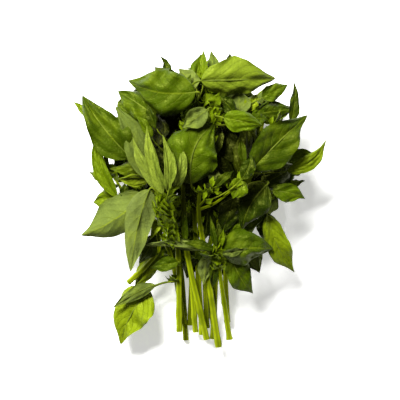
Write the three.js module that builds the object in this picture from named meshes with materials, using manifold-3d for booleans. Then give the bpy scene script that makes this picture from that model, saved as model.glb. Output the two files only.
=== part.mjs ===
// A bunch of sweet basil lying on a table: cut leafy stems side by side, their cut ends
// towards -Y and their leaves spread towards +Y, seen best from above (+Z). Millimetres.
// Each stem is one solid with its side shoots, leaf stalks and blades grown together.
import * as THREE from "three";
import Module from "manifold-3d";
import { mergeVertices } from "three/addons/utils/BufferGeometryUtils.js";

// Driving dimensions
const BLADE_THICK = 0.8;
const STALK_WIDE = 1.9; // leaf stalk where it meets the blade
const ROOT_WIDE = 2.2; // leaf stalk where it leaves the stem
const STEM_STEP = 17; // length of one straight piece of a stem
const STEM_SIDES = 4; // stems of this herb are square
const SHOOT_STEP = 14;
const SHOOT_TIP = 1.0;
const STALK_LEAN = 0.7; // how far down the stem a leaf stalk starts, against its reach
const PERCHES = 48; // places along a stem where a leaf may grow
const CLEAR = 0.9; // room kept round every blade, on each side
const LARGE_LEAF = 30; // blades at least this long get the finer outline
const LARGE_ROWS = [0.16, 0.42, 0.72];
const SMALL_ROWS = [0.22, 0.62];

// The round mass of foliage that the outer leaves follow: its centre and half sizes
const MASS_CENTRE = new THREE.Vector3(0, 34, 44);
const MASS_HALF = new THREE.Vector3(100, 86, 47);
const NECK = new THREE.Vector3(0, -50, 26); // where the stems run closest together

// Each stem from its cut end to its tip, with its radius at both ends
const STEMS = [
  { name: "stem_front_left", cut: 3.2, tip: 1.3,
    path: [[-19, -120, 19], [-20, -45, 38], [-28, -5, 54], [-48, 40, 58], [-58, 74, 52]] },
  { name: "stem_front_slanting", cut: 3.3, tip: 1.3,
    path: [[6, -127, 19], [-12, -46, 40], [-15, 0, 58], [-14, 45, 60], [-12, 88, 54]] },
  { name: "stem_front_middle", cut: 3.3, tip: 1.4,
    path: [[17, -134, 16], [3, -40, 40], [-1, -6, 58], [4, 40, 66], [12, 80, 64]] },
  { name: "stem_front_short", cut: 3.0, tip: 1.6,
    path: [[27, -127, 17], [23, -100, 26], [18, -66, 43], [17, -46, 54]] },
  { name: "stem_front_right", cut: 3.1, tip: 1.3,
    path: [[12, -127, 8], [16, -48, 30], [26, -8, 46], [50, 34, 54], [66, 66, 50]] },
  { name: "stem_left_outer", cut: 3.0, tip: 1.2,
    path: [[-15, -113, 10], [-28, -46, 27], [-52, -12, 34], [-70, 8, 36], [-80, 26, 34]] },
  { name: "stem_left_upper", cut: 2.9, tip: 1.2,
    path: [[-4, -121, 11], [-12, -47, 26], [-36, 18, 34], [-54, 52, 36], [-64, 72, 34]] },
  { name: "stem_middle_upper", cut: 3.0, tip: 1.2,
    path: [[2, -123, 13], [-3, -48, 28], [-6, 20, 40], [0, 70, 42], [6, 108, 40]] },
  { name: "stem_right_upper", cut: 2.9, tip: 1.2,
    path: [[6, -117, 6.5], [7, -48, 25], [34, 16, 36], [52, 54, 38], [60, 80, 36]] },
  { name: "stem_right_outer", cut: 2.9, tip: 1.2,
    path: [[25, -112, 7], [25, -50, 22], [48, -14, 32], [68, 6, 36], [80, 22, 34]] },
  { name: "stem_back_left", cut: 3.0, tip: 1.2,
    path: [[-13, -129, 2.9], [-20, -50, 12], [-43, 0, 15], [-70, 40, 15], [-84, 62, 13]] },
  { name: "stem_back_middle", cut: 3.0, tip: 1.2,
    path: [[-9, -115, 3], [-8, -50, 13], [-16, 10, 17], [-24, 66, 16], [-28, 98, 15]] },
  { name: "stem_back_right", cut: 3.0, tip: 1.2,
    path: [[13, -121, 2.9], [7, -52, 13], [26, 10, 17], [44, 60, 15], [54, 84, 14]] },
  { name: "stem_stray_left", cut: 2.8, tip: 1.3,
    path: [[-65, -75, 26], [-48, -59, 36], [-37, -42, 42], [-43, -16, 46], [-56, 8, 46]] },
];

// Side shoots: the stem that bears one, how far along that stem it starts, and its way out
const SHOOTS = [
  { stem: "stem_front_middle", at: 0.48, radius: 1.7, path: [[13, -3, 66], [25, 6, 72], [37, 17, 75]] },
  { stem: "stem_front_middle", at: 0.5, radius: 1.4, path: [[6, 2, 67], [13, 11, 72]] },
  { stem: "stem_front_left", at: 0.3, radius: 2.4, path: [[-24, -38, 52], [-26, -22, 62], [-31, -8, 69], [-32, 4, 74]] },
];

// Leaves seen from above, one by one: the blade's base and tip, its width, how far its rib
// arches off the straight line, its roll about that line (0 shows the upper face to the sky,
// 180 the underside), the fold of its halves at the rib, how they curl on to the edge, its
// twist from base to tip, how far the rib sweeps sideways and, on some, where its stalk starts
const PLACED = [
  // crown of the bunch
  [[-4, 96, 74], [-65, 107, 60], 45, 8, -14, 12, -54, -14, -4],
  [[1, 106, 72], [68, 109, 60], 40, 7, 22, 4, -48, -8, -2],
  [[-8, 14, 70], [14, 69, 66], 52, 13, -4, 12, -50, 14, -8],
  [[21, 73, 80], [56, 66, 77], 20, 4, 4, 12, -34, 6, 0, [12, 80, 64]],
  [[6, 80, 81], [-16, 64, 82], 19, 2, 174, -6, -20, 0, 0],
  [[31, 77, 72], [17, 93, 70], 13, 1, 10, 20, -20, 0, 0],
  [[36, 76, 66], [34, 101, 62], 19, 1, 172, 8, -10, 0, 0],
  [[42, 80, 60], [52, 95, 57], 13, 1, 0, 15, 0, 0, 0],
  [[45, 74, 66], [62, 89, 64], 8, 1, 30, 25, 0, 0, 0],
  [[44, 73, 70], [61, 72, 67], 10, 1, -10, 12, 0, 0, 0],
  [[-44, 18, 72], [-76, 84, 62], 27, 4, 174, 8, 16, 14, -3],
  [[-62, 38, 54], [-106, 94, 46], 34, 5, 4, 24, -24, 16, -3],
  [[-40, 75, 60], [-74, 98, 48], 26, 4, 10, 14, -40, 18, 0],
  [[-56, 72, 50], [-75, 86, 44], 16, 3, 8, 0, -20, 0, 0],
  [[-43, 56, 68], [-57, 76, 64], 10, 2, 30, 20, -10, 0, 0],
  [[-39, 64, 66], [-46, 86, 62], 9, 1, -30, 25, 0, 30, 0],
  // tips that stand out past the crown
  [[-29, 112, 50], [-36, 130, 46], 9, -3, 20, 25, 10, 40, 3],
  [[-25, 100, 54], [-41, 120, 48], 24, 3, 0, 0, -25, 0, 0],
  [[-6, 104, 54], [1, 132, 46], 14, 2, 10, 20, -10, 0, 0],
  [[3, 108, 56], [4, 135, 48], 10, 1, -20, 25, 0, 0, 0],
  [[12, 111, 50], [10, 135, 44], 12, 2, 165, 15, -12, 20, 0],
  [[27, 112, 48], [27, 133, 43], 11, 1, 0, 22, 0, 0, 0],
  [[-4, 100, 60], [-19, 118, 54], 19, 2, 170, 5, -10, 0, 0],
  // left side
  [[-96, 72, 40], [-115, 89, 36], 9, 1, 20, 18, 0, 0, 0],
  [[-75, 3, 50], [-93, 65, 43], 15, 4, -12, 30, -6, -10, -6],
  [[-74, 3, 43], [-97, -2, 36], 19, 3, -6, 16, -40, 20, 0],
  [[-45, 27, 54], [-81, 28, 46], 16, 3, 10, -6, -20, 0, 0],
  [[-44, 20, 62], [-75, 20, 55], 13, 2, -30, 20, 0, 0, 0],
  [[-68, 2, 56], [-67, 15, 53], 9, 1, 0, 15, 0, 0, 0],
  [[-51, 5, 64], [-106, -31, 52], 38, 4, 176, 10, 14, -10, 5],
  [[-45, 9, 78], [-62, -64, 62], 27, 3, 182, 8, 12, 0, -3],
  // long leaves of the shoot that lies on the left of the middle
  [[-28, 8, 83], [-33, 58, 85], 10, 4, 10, 24, -14, 14, 2],
  [[-33, 6, 81], [-47, 66, 79], 12, 3, 0, 20, -12, 10, -3],
  [[-37, 9, 77], [-60, 56, 74], 11, 3, -8, 22, -8, 0, -2],
  [[-23, 9, 80], [-17, 48, 80], 11, 4, 12, 18, -14, 0, 3],
  [[-43, 12, 60], [-71, 44, 54], 15, 2, -10, 20, -16, 16, 0],
  [[-27, 3, 79], [-16, 12, 80], 6, 3, 0, 30, 0, 0, -3],
  [[-28, -3, 77], [-17, 3, 78], 6, 3, 0, 30, 0, 0, -3],
  // right side
  [[46, 27, 72], [96, 76, 58], 35, 6, 12, 18, -30, 10, -2],
  [[54, 78, 52], [84, 82, 45], 20, 3, 0, 0, -20, 0, 0],
  [[82, 70, 46], [85, 107, 41], 10, 2, 20, 20, 0, 10, 1],
  [[56, 92, 58], [80, 102, 52], 15, 2, 0, 8, -16, 0, 0],
  [[76, 38, 50], [103, 42, 45], 14, 2, -10, 12, -10, 0, 1],
  [[79, 26, 52], [114, 53, 44], 14, 2, 10, 14, 0, 20, 6],
  [[56, 14, 54], [88, 33, 47], 28, 4, 8, 0, -24, 0, 0],
  [[65, 8, 52], [95, 1, 44], 17, 3, 0, 8, -16, 15, -2],
  [[60, 14, 60], [38, -27, 52], 32, 6, 14, 14, -44, -12, 3],
  [[31, 2, 52], [20, -30, 44], 22, 4, 0, -4, -22, 0, 0],
  [[61, -14, 50], [86, -66, 28], 23, 5, -6, 20, -40, 40, 4],
  [[19, -47, 56], [65, -44, 44], 36, 9, 10, 12, -62, 18, -4],
  [[45, -43, 44], [54, -66, 36], 20, 3, 175, 10, 10, 0, 0],
  [[28, -50, 50], [48, -85, 32], 23, 4, 8, 18, -30, 16, 2],
  [[26, -30, 46], [57, -17, 48], 17, 3, 10, 0, -20, 0, 0],
  [[20, -48, 60], [43, -43, 60], 8, 1, 20, 22, 0, 0, 0],
  // small leaves on the shoots right of the middle
  [[38, 18, 76], [29, 1, 74], 18, 2, 0, 14, -24, 10, 0],
  [[37, 19, 79], [46, 41, 78], 13, 3, 0, 22, -20, 20, 2],
  [[14, 12, 77], [30, 26, 77], 9, 2, -20, 28, 0, 0, 0],
  [[12, 14, 74], [13, 29, 71], 11, 2, 10, 12, 0, 0, 0],
  [[11, 12, 72], [-1, 18, 67], 10, 2, 160, 10, 0, 0, 0],
  [[39, 34, 68], [36, 55, 66], 8, 1, 0, 20, 0, 0, 0],
  [[7, 68, 68], [3, 84, 66], 7, 1, 0, 22, 0, 0, 0],
  [[11, 68, 68], [13, 84, 66], 7, 1, 0, 22, 0, 0, 0],
  // neck of the bunch
  [[13, -47, 54], [-54, -40, 56], 15, 1, 130, 24, 0, 20, -2],
  [[12, -44, 57], [-16, -38, 57], 10, 1, 30, 22, 0, 0, 0],
  [[14, -41, 64], [9, -14, 66], 6, 1, 0, 28, 0, 0, 0, [17, -50, 53]],
  [[18, -42, 60], [21, -26, 64], 6, 1, 0, 28, 0, 0, 0],
  [[7, -49, 47], [3, -77, 36], 13, 2, 165, 12, 0, 0, 0],
  [[14, -54, 46], [11, -80, 36], 9, 2, 0, 18, 0, 0, 0],
  [[-20, -56, 44], [-45, -61, 40], 13, 2, 0, 12, -8, 0, 0],
  [[-38, -48, 34], [-60, -80, 22], 19, 3, 10, 12, -30, 14, 0],
  [[-46, -82, 27], [-72, -131, 13], 37, 5, 20, 12, -22, -8, 3, [-20, -76, 31]],
  [[-41, -77, 40], [-79, -98, 34], 12, 2, 178, 8, 0, 0, -2, [-20, -76, 31]],
  [[-34, -14, 60], [-45, -36, 54], 8, 1, 0, 20, 0, 0, 0],
  [[-13, -36, 54], [-14, -9, 59], 6, 1, 0, 20, 0, 0, 0],
  // deep between the stems
  [[-14, -40, 22], [-40, -60, 15], 24, 3, 0, 0, -16, 0, 0],
  [[-4, -42, 20], [-12, -72, 12], 18, 2, 0, 6, -12, 0, 0],
  [[10, -42, 20], [24, -70, 12], 20, 2, 0, 6, -12, 0, 0],
  [[24, -40, 30], [48, -56, 20], 24, 3, 0, 0, -16, 0, 0],
  [[-2, -36, 34], [-6, -62, 27], 16, 2, 0, 6, -12, 0, 0],
  [[-38, -32, 42], [-55, -57, 36], 18, 3, 0, 0, -14, 0, 0],
  [[-10, -6, 35], [-30, -34, 29], 22, 2, 0, 0, -14, 0, 0],
  [[8, -4, 33], [4, -36, 29], 20, 2, 0, 0, -14, 0, 0],
  [[22, -8, 33], [30, -38, 27], 20, 2, 0, 0, -14, 0, 0],
  [[60, -12, 34], [64, -44, 22], 20, 3, 0, 0, -14, 0, 0],
  // deep in the foliage
  [[30, 34, 50], [22, 66, 46], 24, 3, 0, 0, -14, 0, 0],
  [[-2, 72, 42], [12, 100, 38], 22, 3, 0, 0, -14, 0, 0],
  [[-30, 58, 34], [-20, 92, 32], 24, 3, 0, 0, -14, 0, 0],
  // narrow young leaves over the long ones
  [[-30, 10, 87], [-42, 43, 89], 7, 2, 20, 26, 0, 10, -2],
  [[-26, 14, 86], [-24, 42, 88], 7, 2, -10, 26, 0, 0, 2],
];

// How far the foliage reaches from its middle, seen from above, every 20 degrees from +X
const REACH = [84, 88, 95, 92, 88, 86, 86, 80, 80, 72, 78, 78, 76, 74, 76, 84, 78, 78];

// Leaves that clothe the sides, the back and the inside of the bunch, in shells set one
// inside the other; each shell has its number of leaves, its size against the outermost, the
// height of its top, how steeply its leaves may face up, and its shortest and longest blade
const SHELLS = [
  { leaves: 104, size: 1.0, top: 40, steepest: 0.3, length: [38, 60] },
  { leaves: 64, size: 0.8, top: 20, steepest: 1, length: [38, 60] },
  { leaves: 30, size: 0.52, top: 8, steepest: 1, length: [38, 60] },
  { leaves: 46, size: 0.86, top: 27, steepest: 0.85, length: [22, 36] },
];
const GOLDEN_TURN = Math.PI * (3 - Math.sqrt(5));
const SHELL_SLIM = [0.46, 0.58]; // width against length
const SHELL_YAW = 110; // how far they turn off the straight way out, from side to side
const FOOT_BARE = -44; // no leaf of a shell starts nearer to the cut ends than this
const HOLLOW = { x: -26, y: 71, z: 40, half: 13 }; // gap in the crown that the shells leave open

// Leaves at each stem's tip
const ROSETTE_PAIRS = 2;
const ROSETTE_LENGTH = [15, 26];

const HERB_GREEN = { color: 0x5f7015, roughness: 0.5, metalness: 0 };

const wasm = await Module();
wasm.setup();

const vec = (p) => new THREE.Vector3(p[0], p[1], p[2]);
const rad = (degrees) => (degrees * Math.PI) / 180;
const mix = (range, share) => range[0] + (range[1] - range[0]) * share;

// A fixed draw from 0 to 1 for the nth leaf
function draw(n, which) {
  const x = Math.sin(n * 12.9898 + which * 78.233) * 43758.5453;
  return x - Math.floor(x);
}

// A closed mesh, facing out, as a solid
function solidOf(points, faces) {
  const geometry = new THREE.BufferGeometry();
  const flat = points.flatMap((p) => [p.x, p.y, p.z]);
  geometry.setAttribute("position", new THREE.Float32BufferAttribute(flat, 3));
  geometry.setIndex(faces);
  const merged = mergeVertices(geometry, 1e-4);
  return new wasm.Manifold(
    new wasm.Mesh({
      numProp: 3,
      vertProperties: merged.attributes.position.array,
      triVerts: new Uint32Array(merged.index.array),
    }),
  );
}

function geometryOf(solid) {
  const mesh = solid.getMesh();
  const geometry = new THREE.BufferGeometry();
  geometry.setAttribute("position", new THREE.BufferAttribute(mesh.vertProperties, 3));
  geometry.setIndex(new THREE.BufferAttribute(mesh.triVerts, 1));
  geometry.computeVertexNormals();
  return geometry;
}

// A tapering round or square rod along a curve
function rodSolid(curve, step, sides, startRadius, endRadius) {
  const pieces = Math.max(2, Math.round(curve.getLength() / step));
  const points = [];
  const faces = [];
  for (let i = 0; i <= pieces; i++) {
    const t = i / pieces;
    const centre = curve.getPoint(t);
    const ahead = curve.getTangent(t);
    const side = new THREE.Vector3(0, 0, 1).cross(ahead).normalize();
    const up = ahead.clone().cross(side);
    const radius = startRadius + (endRadius - startRadius) * t;
    for (let k = 0; k < sides; k++) {
      const turn = ((k + 0.5) / sides) * 2 * Math.PI;
      points.push(
        centre.clone()
          .addScaledVector(side, radius * Math.cos(turn))
          .addScaledVector(up, radius * Math.sin(turn)),
      );
    }
  }
  for (let i = 0; i < pieces; i++) {
    for (let k = 0; k < sides; k++) {
      const a = i * sides + k;
      const b = i * sides + ((k + 1) % sides);
      faces.push(a, b, b + sides, a, b + sides, a + sides);
    }
  }
  const last = pieces * sides;
  for (let k = 1; k < sides - 1; k++) {
    faces.push(0, k + 1, k, last, last + k, last + k + 1);
  }
  return solidOf(points, faces);
}

// The foliage mass's outward direction at a point
function outward(point) {
  return new THREE.Vector3(
    (point.x - MASS_CENTRE.x) / MASS_HALF.x ** 2,
    (point.y - MASS_CENTRE.y) / MASS_HALF.y ** 2,
    (point.z - MASS_CENTRE.z) / MASS_HALF.z ** 2,
  ).normalize();
}

// Half width of a blade along its length, as a share of its widest
function outline(u) {
  return Math.sin(Math.PI * u ** 0.7) ** 0.8;
}

// The blade's rib as a curve, and its upper side's direction where it starts
function ribOf(leaf) {
  const chord = leaf.tip.clone().sub(leaf.base);
  const middle = leaf.base.clone().add(leaf.tip).multiplyScalar(0.5);
  const along = chord.clone().normalize();
  const face = leaf.face.clone().addScaledVector(along, -leaf.face.dot(along)).normalize();
  face.applyAxisAngle(along, rad(leaf.roll));
  const aside = along.clone().cross(face);
  const bend = middle.clone()
    .addScaledVector(face, 2 * leaf.arch)
    .addScaledVector(aside, 2 * leaf.sweep);
  return { curve: new THREE.QuadraticBezierCurve3(leaf.base, bend, leaf.tip), face };
}

// The blade's own directions at u along its rib: ahead, to its right, and off its face
function ribFrame(leaf, rib, u) {
  const ahead = rib.curve.getTangent(u);
  const right = ahead.clone().cross(rib.face).normalize();
  right.applyAxisAngle(ahead, rad(leaf.twist) * (u - 0.5));
  return { centre: rib.curve.getPoint(u), ahead, right, off: right.clone().cross(ahead) };
}

// The edge point of the blade at u, side -1 or 1
function edgePoint(leaf, frame, u, side, extra) {
  const half = (leaf.wide / 2) * outline(u) + extra;
  const fold = rad(leaf.fold);
  const curl = rad(leaf.curl) || 1e-6;
  const out = (Math.sin(fold + curl) - Math.sin(fold)) / curl;
  const lift = (Math.cos(fold) - Math.cos(fold + curl)) / curl;
  return frame.centre.clone()
    .addScaledVector(frame.right, side * half * out)
    .addScaledVector(frame.off, half * lift);
}

// Rows of points across the leaf, from the stalk's root to the tip of the blade
function leafRows(leaf, extra, withStalk) {
  const rib = ribOf(leaf);
  const rows = [];
  const across = (centre, right, off, wide) => {
    const half = wide / 2 + extra;
    const points = [-1, 1].map((side) => centre.clone().addScaledVector(right, side * half));
    rows.push({ points, off });
  };
  const start = ribFrame(leaf, rib, 0);
  if (withStalk) {
    const reach = start.centre.distanceTo(leaf.root);
    const bend = start.centre.clone().addScaledVector(start.ahead, -0.4 * reach);
    const stalk = new THREE.QuadraticBezierCurve3(leaf.root, bend, start.centre);
    for (const u of [0, 0.5]) {
      const bent = new THREE.Quaternion().setFromUnitVectors(start.ahead, stalk.getTangent(u));
      const right = start.right.clone().applyQuaternion(bent);
      const off = start.off.clone().applyQuaternion(bent);
      across(stalk.getPoint(u), right, off, u ? STALK_WIDE : ROOT_WIDE);
    }
  }
  across(start.centre, start.right, start.off, STALK_WIDE);
  const length = leaf.base.distanceTo(leaf.tip);
  for (const u of leaf.plain || length < LARGE_LEAF ? SMALL_ROWS : LARGE_ROWS) {
    const frame = ribFrame(leaf, rib, u);
    const left = edgePoint(leaf, frame, u, -1, extra);
    const right = edgePoint(leaf, frame, u, 1, extra);
    rows.push({ points: [left, frame.centre, right], off: frame.off });
  }
  const end = ribFrame(leaf, rib, 1);
  rows.push({ points: [end.centre.addScaledVector(end.ahead, extra)], off: end.off });
  return rows;
}

// A closed blade through the rows, of even thickness, pressed flat where it meets the table
function bladeSolid(rows, thick) {
  const points = [];
  const faces = [];
  const starts = [];
  for (const row of rows) {
    starts.push(points.length);
    const offset = row.off.clone().multiplyScalar(thick / 2);
    for (const p of row.points) {
      const under = p.clone().sub(offset);
      const over = p.clone().add(offset);
      const sunk = Math.max(0, -Math.min(under.z, over.z));
      under.z += sunk;
      over.z += sunk;
      points.push(over, under);
    }
  }
  for (let i = 0; i + 1 < rows.length; i++) {
    const here = rows[i].points.length;
    const next = rows[i + 1].points.length;
    const a = (k) => starts[i] + 2 * k;
    const b = (k) => starts[i + 1] + 2 * k;
    const strip = [];
    for (let j = 0, k = 0; j < here - 1 || k < next - 1; ) {
      if (k < next - 1 && (j + 1) * next >= (k + 1) * here) {
        strip.push([a(j), b(k + 1), b(k)]);
        k++;
      } else if (j < here - 1) {
        strip.push([a(j), a(j + 1), b(k)]);
        j++;
      } else {
        strip.push([a(j), b(k + 1), b(k)]);
        k++;
      }
    }
    for (const [p, q, r] of strip) {
      faces.push(p, q, r, p + 1, r + 1, q + 1);
    }
    faces.push(a(0), b(0), b(0) + 1, a(0), b(0) + 1, a(0) + 1);
    const p = a(here - 1);
    const q = b(next - 1);
    faces.push(p, q + 1, q, p, p + 1, q + 1);
  }
  const root = starts[0];
  faces.push(root, root + 1, root + 3, root, root + 3, root + 2);
  const tip = starts[rows.length - 1];
  return { points, faces, tip };
}

function leafSolid(leaf, extra, withStalk) {
  const blade = bladeSolid(leafRows(leaf, extra, withStalk), BLADE_THICK + 2 * extra);
  return solidOf(blade.points, blade.faces);
}

// The stems, each with its shoots; every piece grown so far is kept with its bounds
const plants = STEMS.map((stem) => {
  const curve = new THREE.CatmullRomCurve3(stem.path.map(vec), false, "catmullrom", 0.5);
  return { name: stem.name, curves: [curve], radii: [[stem.cut, stem.tip]] };
});
for (const shoot of SHOOTS) {
  const plant = plants.find((p) => p.name === shoot.stem);
  const start = plant.curves[0].getPoint(shoot.at);
  const path = [start, ...shoot.path.map(vec)];
  plant.curves.push(new THREE.CatmullRomCurve3(path, false, "catmullrom", 0.5));
  plant.radii.push([shoot.radius, SHOOT_TIP]);
}

const grown = [];

function keep(plant, solid, blade) {
  grown.push({ plant, solid, blade, box: solid.boundingBox() });
}

for (const plant of plants) {
  plant.curves.forEach((curve, i) => {
    const [start, end] = plant.radii[i];
    keep(plant, rodSolid(curve, i ? SHOOT_STEP : STEM_STEP, STEM_SIDES, start, end), null);
  });
}

// Places where a leaf may grow, all along the stems and shoots
const perches = [];
plants.forEach((plant) => {
  plant.curves.forEach((curve) => {
    const points = curve.getPoints(PERCHES);
    const length = curve.getLength();
    perches.push({ plant, points, length });
  });
});

// The nth nearest stem to a leaf's base, and the point on it where the leaf's stalk starts,
// which lies further down the stem than the point nearest to the base
function rootOn(base, nth, lean) {
  const reach = perches.map((perch) => {
    let best = 0;
    perch.points.forEach((p, i) => {
      if (p.distanceTo(base) < perch.points[best].distanceTo(base)) {
        best = i;
      }
    });
    return { perch, best, gap: perch.points[best].distanceTo(base) };
  });
  reach.sort((p, q) => p.gap - q.gap);
  const { perch, best, gap } = reach[nth];
  const back = Math.round((lean * gap * PERCHES) / perch.length);
  const last = Math.min(best - back, PERCHES - 1);
  return { plant: perch.plant, root: perch.points[Math.max(2, last)] };
}

function apart(a, b) {
  return ["0", "1", "2"].some((k) => a.min[k] > b.max[k] || b.min[k] > a.max[k]);
}

// Whether a solid runs into any piece that the choice names
function meets(solid, choose) {
  const box = solid.boundingBox();
  for (const piece of grown) {
    const other = choose(piece);
    if (!other || apart(box, piece.box)) {
      continue;
    }
    if (solid.intersect(other).volume() > 1e-3) {
      return true;
    }
  }
  return false;
}

// Whether a leaf has room, with CLEAR left free round it towards the other plants
function hasRoom(leaf, plant) {
  const wide = leafSolid(leaf, CLEAR, true);
  if (meets(wide, (piece) => piece.plant !== plant && piece.solid)) {
    return false;
  }
  const blade = leafSolid(leaf, CLEAR / 2, false);
  if (meets(blade, (piece) => piece.plant === plant && piece.blade && piece.solid)) {
    return false;
  }
  const own = leafSolid(leaf, 0, true);
  return !meets(own, (piece) => piece.plant === plant && piece.blade);
}

// Grow a leaf in the first of its ways that has room; return that way, or nothing
function grow(leaf, ways, allowed) {
  for (const way of ways) {
    const tried = turned(leaf, way);
    if (!allowed(tried)) {
      continue;
    }
    const { plant, root } = rootOn(tried.from || tried.base, way.stem, tried.from ? 0 : STALK_LEAN);
    tried.root = root;
    if (hasRoom(tried, plant)) {
      keep(plant, leafSolid(tried, 0, true), leafSolid(tried, 0, false));
      return tried;
    }
  }
  return null;
}

// The leaf moved the way it faces, and its tip raised and swung round its base
function turned(leaf, way) {
  const out = leaf.face;
  const chord = leaf.tip.clone().sub(leaf.base);
  const aside = chord.clone().cross(out).normalize();
  chord.applyAxisAngle(aside, rad(way.raise)).applyAxisAngle(out, rad(way.swing));
  const base = leaf.base.clone().addScaledVector(out, way.shift);
  return { ...leaf, base, tip: base.clone().add(chord) };
}

function waysOf(shifts, raises, swings, stems) {
  const ways = [];
  for (const shift of shifts) {
    for (const raise of raises) {
      for (const swing of swings) {
        for (let stem = 0; stem < stems; stem++) {
          ways.push({ shift, raise, swing: swing + 1.5 * stem, stem });
        }
      }
    }
  }
  return ways;
}

// Points along the ribs of the placed leaves, which the shells' leaves leave in view
const crown = [HOLLOW];

// Whether a leaf stays within the reach of the foliage, seen from above
function within(leaf) {
  const rib = ribOf(leaf).curve;
  return [0, 0.5, 1].every((u) => {
    const p = rib.getPoint(u).sub(MASS_CENTRE);
    const turn = (Math.atan2(p.y, p.x) / (2 * Math.PI) + 1) % 1;
    return Math.hypot(p.x, p.y) < REACH[Math.floor(turn * REACH.length)] - 0.2 * leaf.wide;
  });
}

// Whether a leaf would hide one of the placed leaves from above
function covers(leaf) {
  const rib = ribOf(leaf).curve;
  return [0, 0.35, 0.65, 1].some((u) => {
    const p = rib.getPoint(u);
    return crown.some((q) => Math.hypot(p.x - q.x, p.y - q.y) < q.half && p.z > q.z - 2);
  });
}

PLACED.forEach(([base, tip, wide, arch, roll, fold, curl, twist, sweep, from]) => {
  const leaf = { base: vec(base), tip: vec(tip), wide, arch, roll, fold, curl, twist, sweep };
  leaf.face = new THREE.Vector3(0, 0, 1);
  leaf.from = from && vec(from);
  const ways = waysOf([0, 2.5, -2.5, 5, -5], [0, 7, -7], [0], 5);
  const found = grow(leaf, ways, () => true);
  if (!found) {
    return;
  }
  const rib = ribOf(found).curve;
  for (let u = 0.1; u < 1; u += 0.1) {
    const p = rib.getPoint(u);
    crown.push({ x: p.x, y: p.y, z: p.z, half: 0.45 * found.wide * outline(u) + 2 });
  }
});

// A pair of small leaves on each side of a stem's tip, the second pair across the first
plants.forEach((plant, n) => {
  const curve = plant.curves[0];
  const ahead = curve.getTangent(1);
  const end = curve.getPoint(1);
  const side = new THREE.Vector3(0, 0, 1).cross(ahead).normalize();
  for (let k = 0; k < 2 * ROSETTE_PAIRS; k++) {
    const pair = k >> 1;
    const turn = rad(180 * (k & 1) + 90 * pair + 40 * (draw(n, 1) - 0.5));
    const away = side.clone().applyAxisAngle(ahead, turn);
    const length = mix(ROSETTE_LENGTH, draw(n, 2 + k));
    const lean = pair ? 0.5 : 1.1;
    const chord = ahead.clone().addScaledVector(away, lean).normalize();
    const base = end.clone().addScaledVector(ahead, pair ? 1 : -5);
    base.addScaledVector(away, 3.5);
    const leaf = {
      face: outward(base),
      base,
      tip: base.clone().addScaledVector(chord, length),
      wide: length * 0.55,
      arch: length * 0.08,
      roll: 0,
      fold: 14,
      curl: -12,
      twist: 20 * (draw(n, 7 + k) - 0.5),
      sweep: 0,
    };
    grow(leaf, waysOf([0], [0, 20, -20], [0, 20, -20], 1), () => true);
  }
});

SHELLS.forEach((shell, s) => {
  for (let i = 0; i < shell.leaves; i++) {
    const n = 1000 * (s + 1) + i;
    const along = 1 - (2 * (i + 0.5)) / shell.leaves;
    const ring = Math.sqrt(1 - along * along);
    const turn = i * GOLDEN_TURN;
    const up = ring * Math.sin(turn);
    const middle = new THREE.Vector3(
      MASS_CENTRE.x + MASS_HALF.x * shell.size * ring * Math.cos(turn),
      MASS_CENTRE.y + MASS_HALF.y * shell.size * along,
      MASS_CENTRE.z + (up > 0 ? shell.top : MASS_HALF.z * shell.size) * up,
    );
    const out = outward(middle);
    if (middle.y < FOOT_BARE || out.z > shell.steepest) {
      continue;
    }
    const way = middle.clone().sub(NECK);
    way.addScaledVector(out, -way.dot(out)).normalize();
    way.applyAxisAngle(out, rad(SHELL_YAW * (draw(n, 1) - 0.5)));
    way.addScaledVector(out, 0.5 * (draw(n, 2) - 0.4)).normalize();
    const length = mix(shell.length, draw(n, 3));
    const leaf = {
      plain: true,
      face: out,
      base: middle.clone().addScaledVector(way, -length / 2),
      tip: middle.clone().addScaledVector(way, length / 2),
      wide: length * mix(SHELL_SLIM, draw(n, 4)),
      arch: length * mix([0.03, 0.12], draw(n, 5)),
      roll: 50 * (draw(n, 6) - 0.5) + (draw(n, 7) < 0.2 ? 180 : 0),
      fold: mix([-10, 22], draw(n, 8)),
      curl: mix([-38, -6], draw(n, 9)),
      twist: 40 * (draw(n, 10) - 0.5),
      sweep: length * 0.08 * (draw(n, 11) - 0.5),
    };
    const ways = waysOf([0, -5, -10], [0, 16, -16], [0, 18, -18], 2);
    grow(leaf, ways, (tried) => within(tried) && !covers(tried));
  }
});

// Each plant grown together to one solid
const bunch = new THREE.Group();
for (const plant of plants) {
  const solids = grown.filter((piece) => piece.plant === plant).map((piece) => piece.solid);
  const whole = solids.reduce((sum, solid) => sum.add(solid));
  const mesh = new THREE.Mesh(geometryOf(whole), new THREE.MeshStandardMaterial(HERB_GREEN));
  mesh.name = plant.name;
  bunch.add(mesh);
}
const bounds = new THREE.Box3().setFromObject(bunch);
const centre = bounds.getCenter(new THREE.Vector3());
bunch.position.set(-centre.x, -centre.y, -bounds.min.z);

export default bunch;
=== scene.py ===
"""A bunch of sweet basil lying on a pale table, seen from straight above.

Fourteen cut stems carry the bunch, and every stem has its side shoots, leaf stalks and blades.
The part's solids hold the same leaves as coarse plates, and here each leaf is found on its
plant and made again with its veins, puckers and waved margin.
"""

import itertools
import math

import bpy
import numpy as np
from mathutils import Matrix, kdtree


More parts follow.
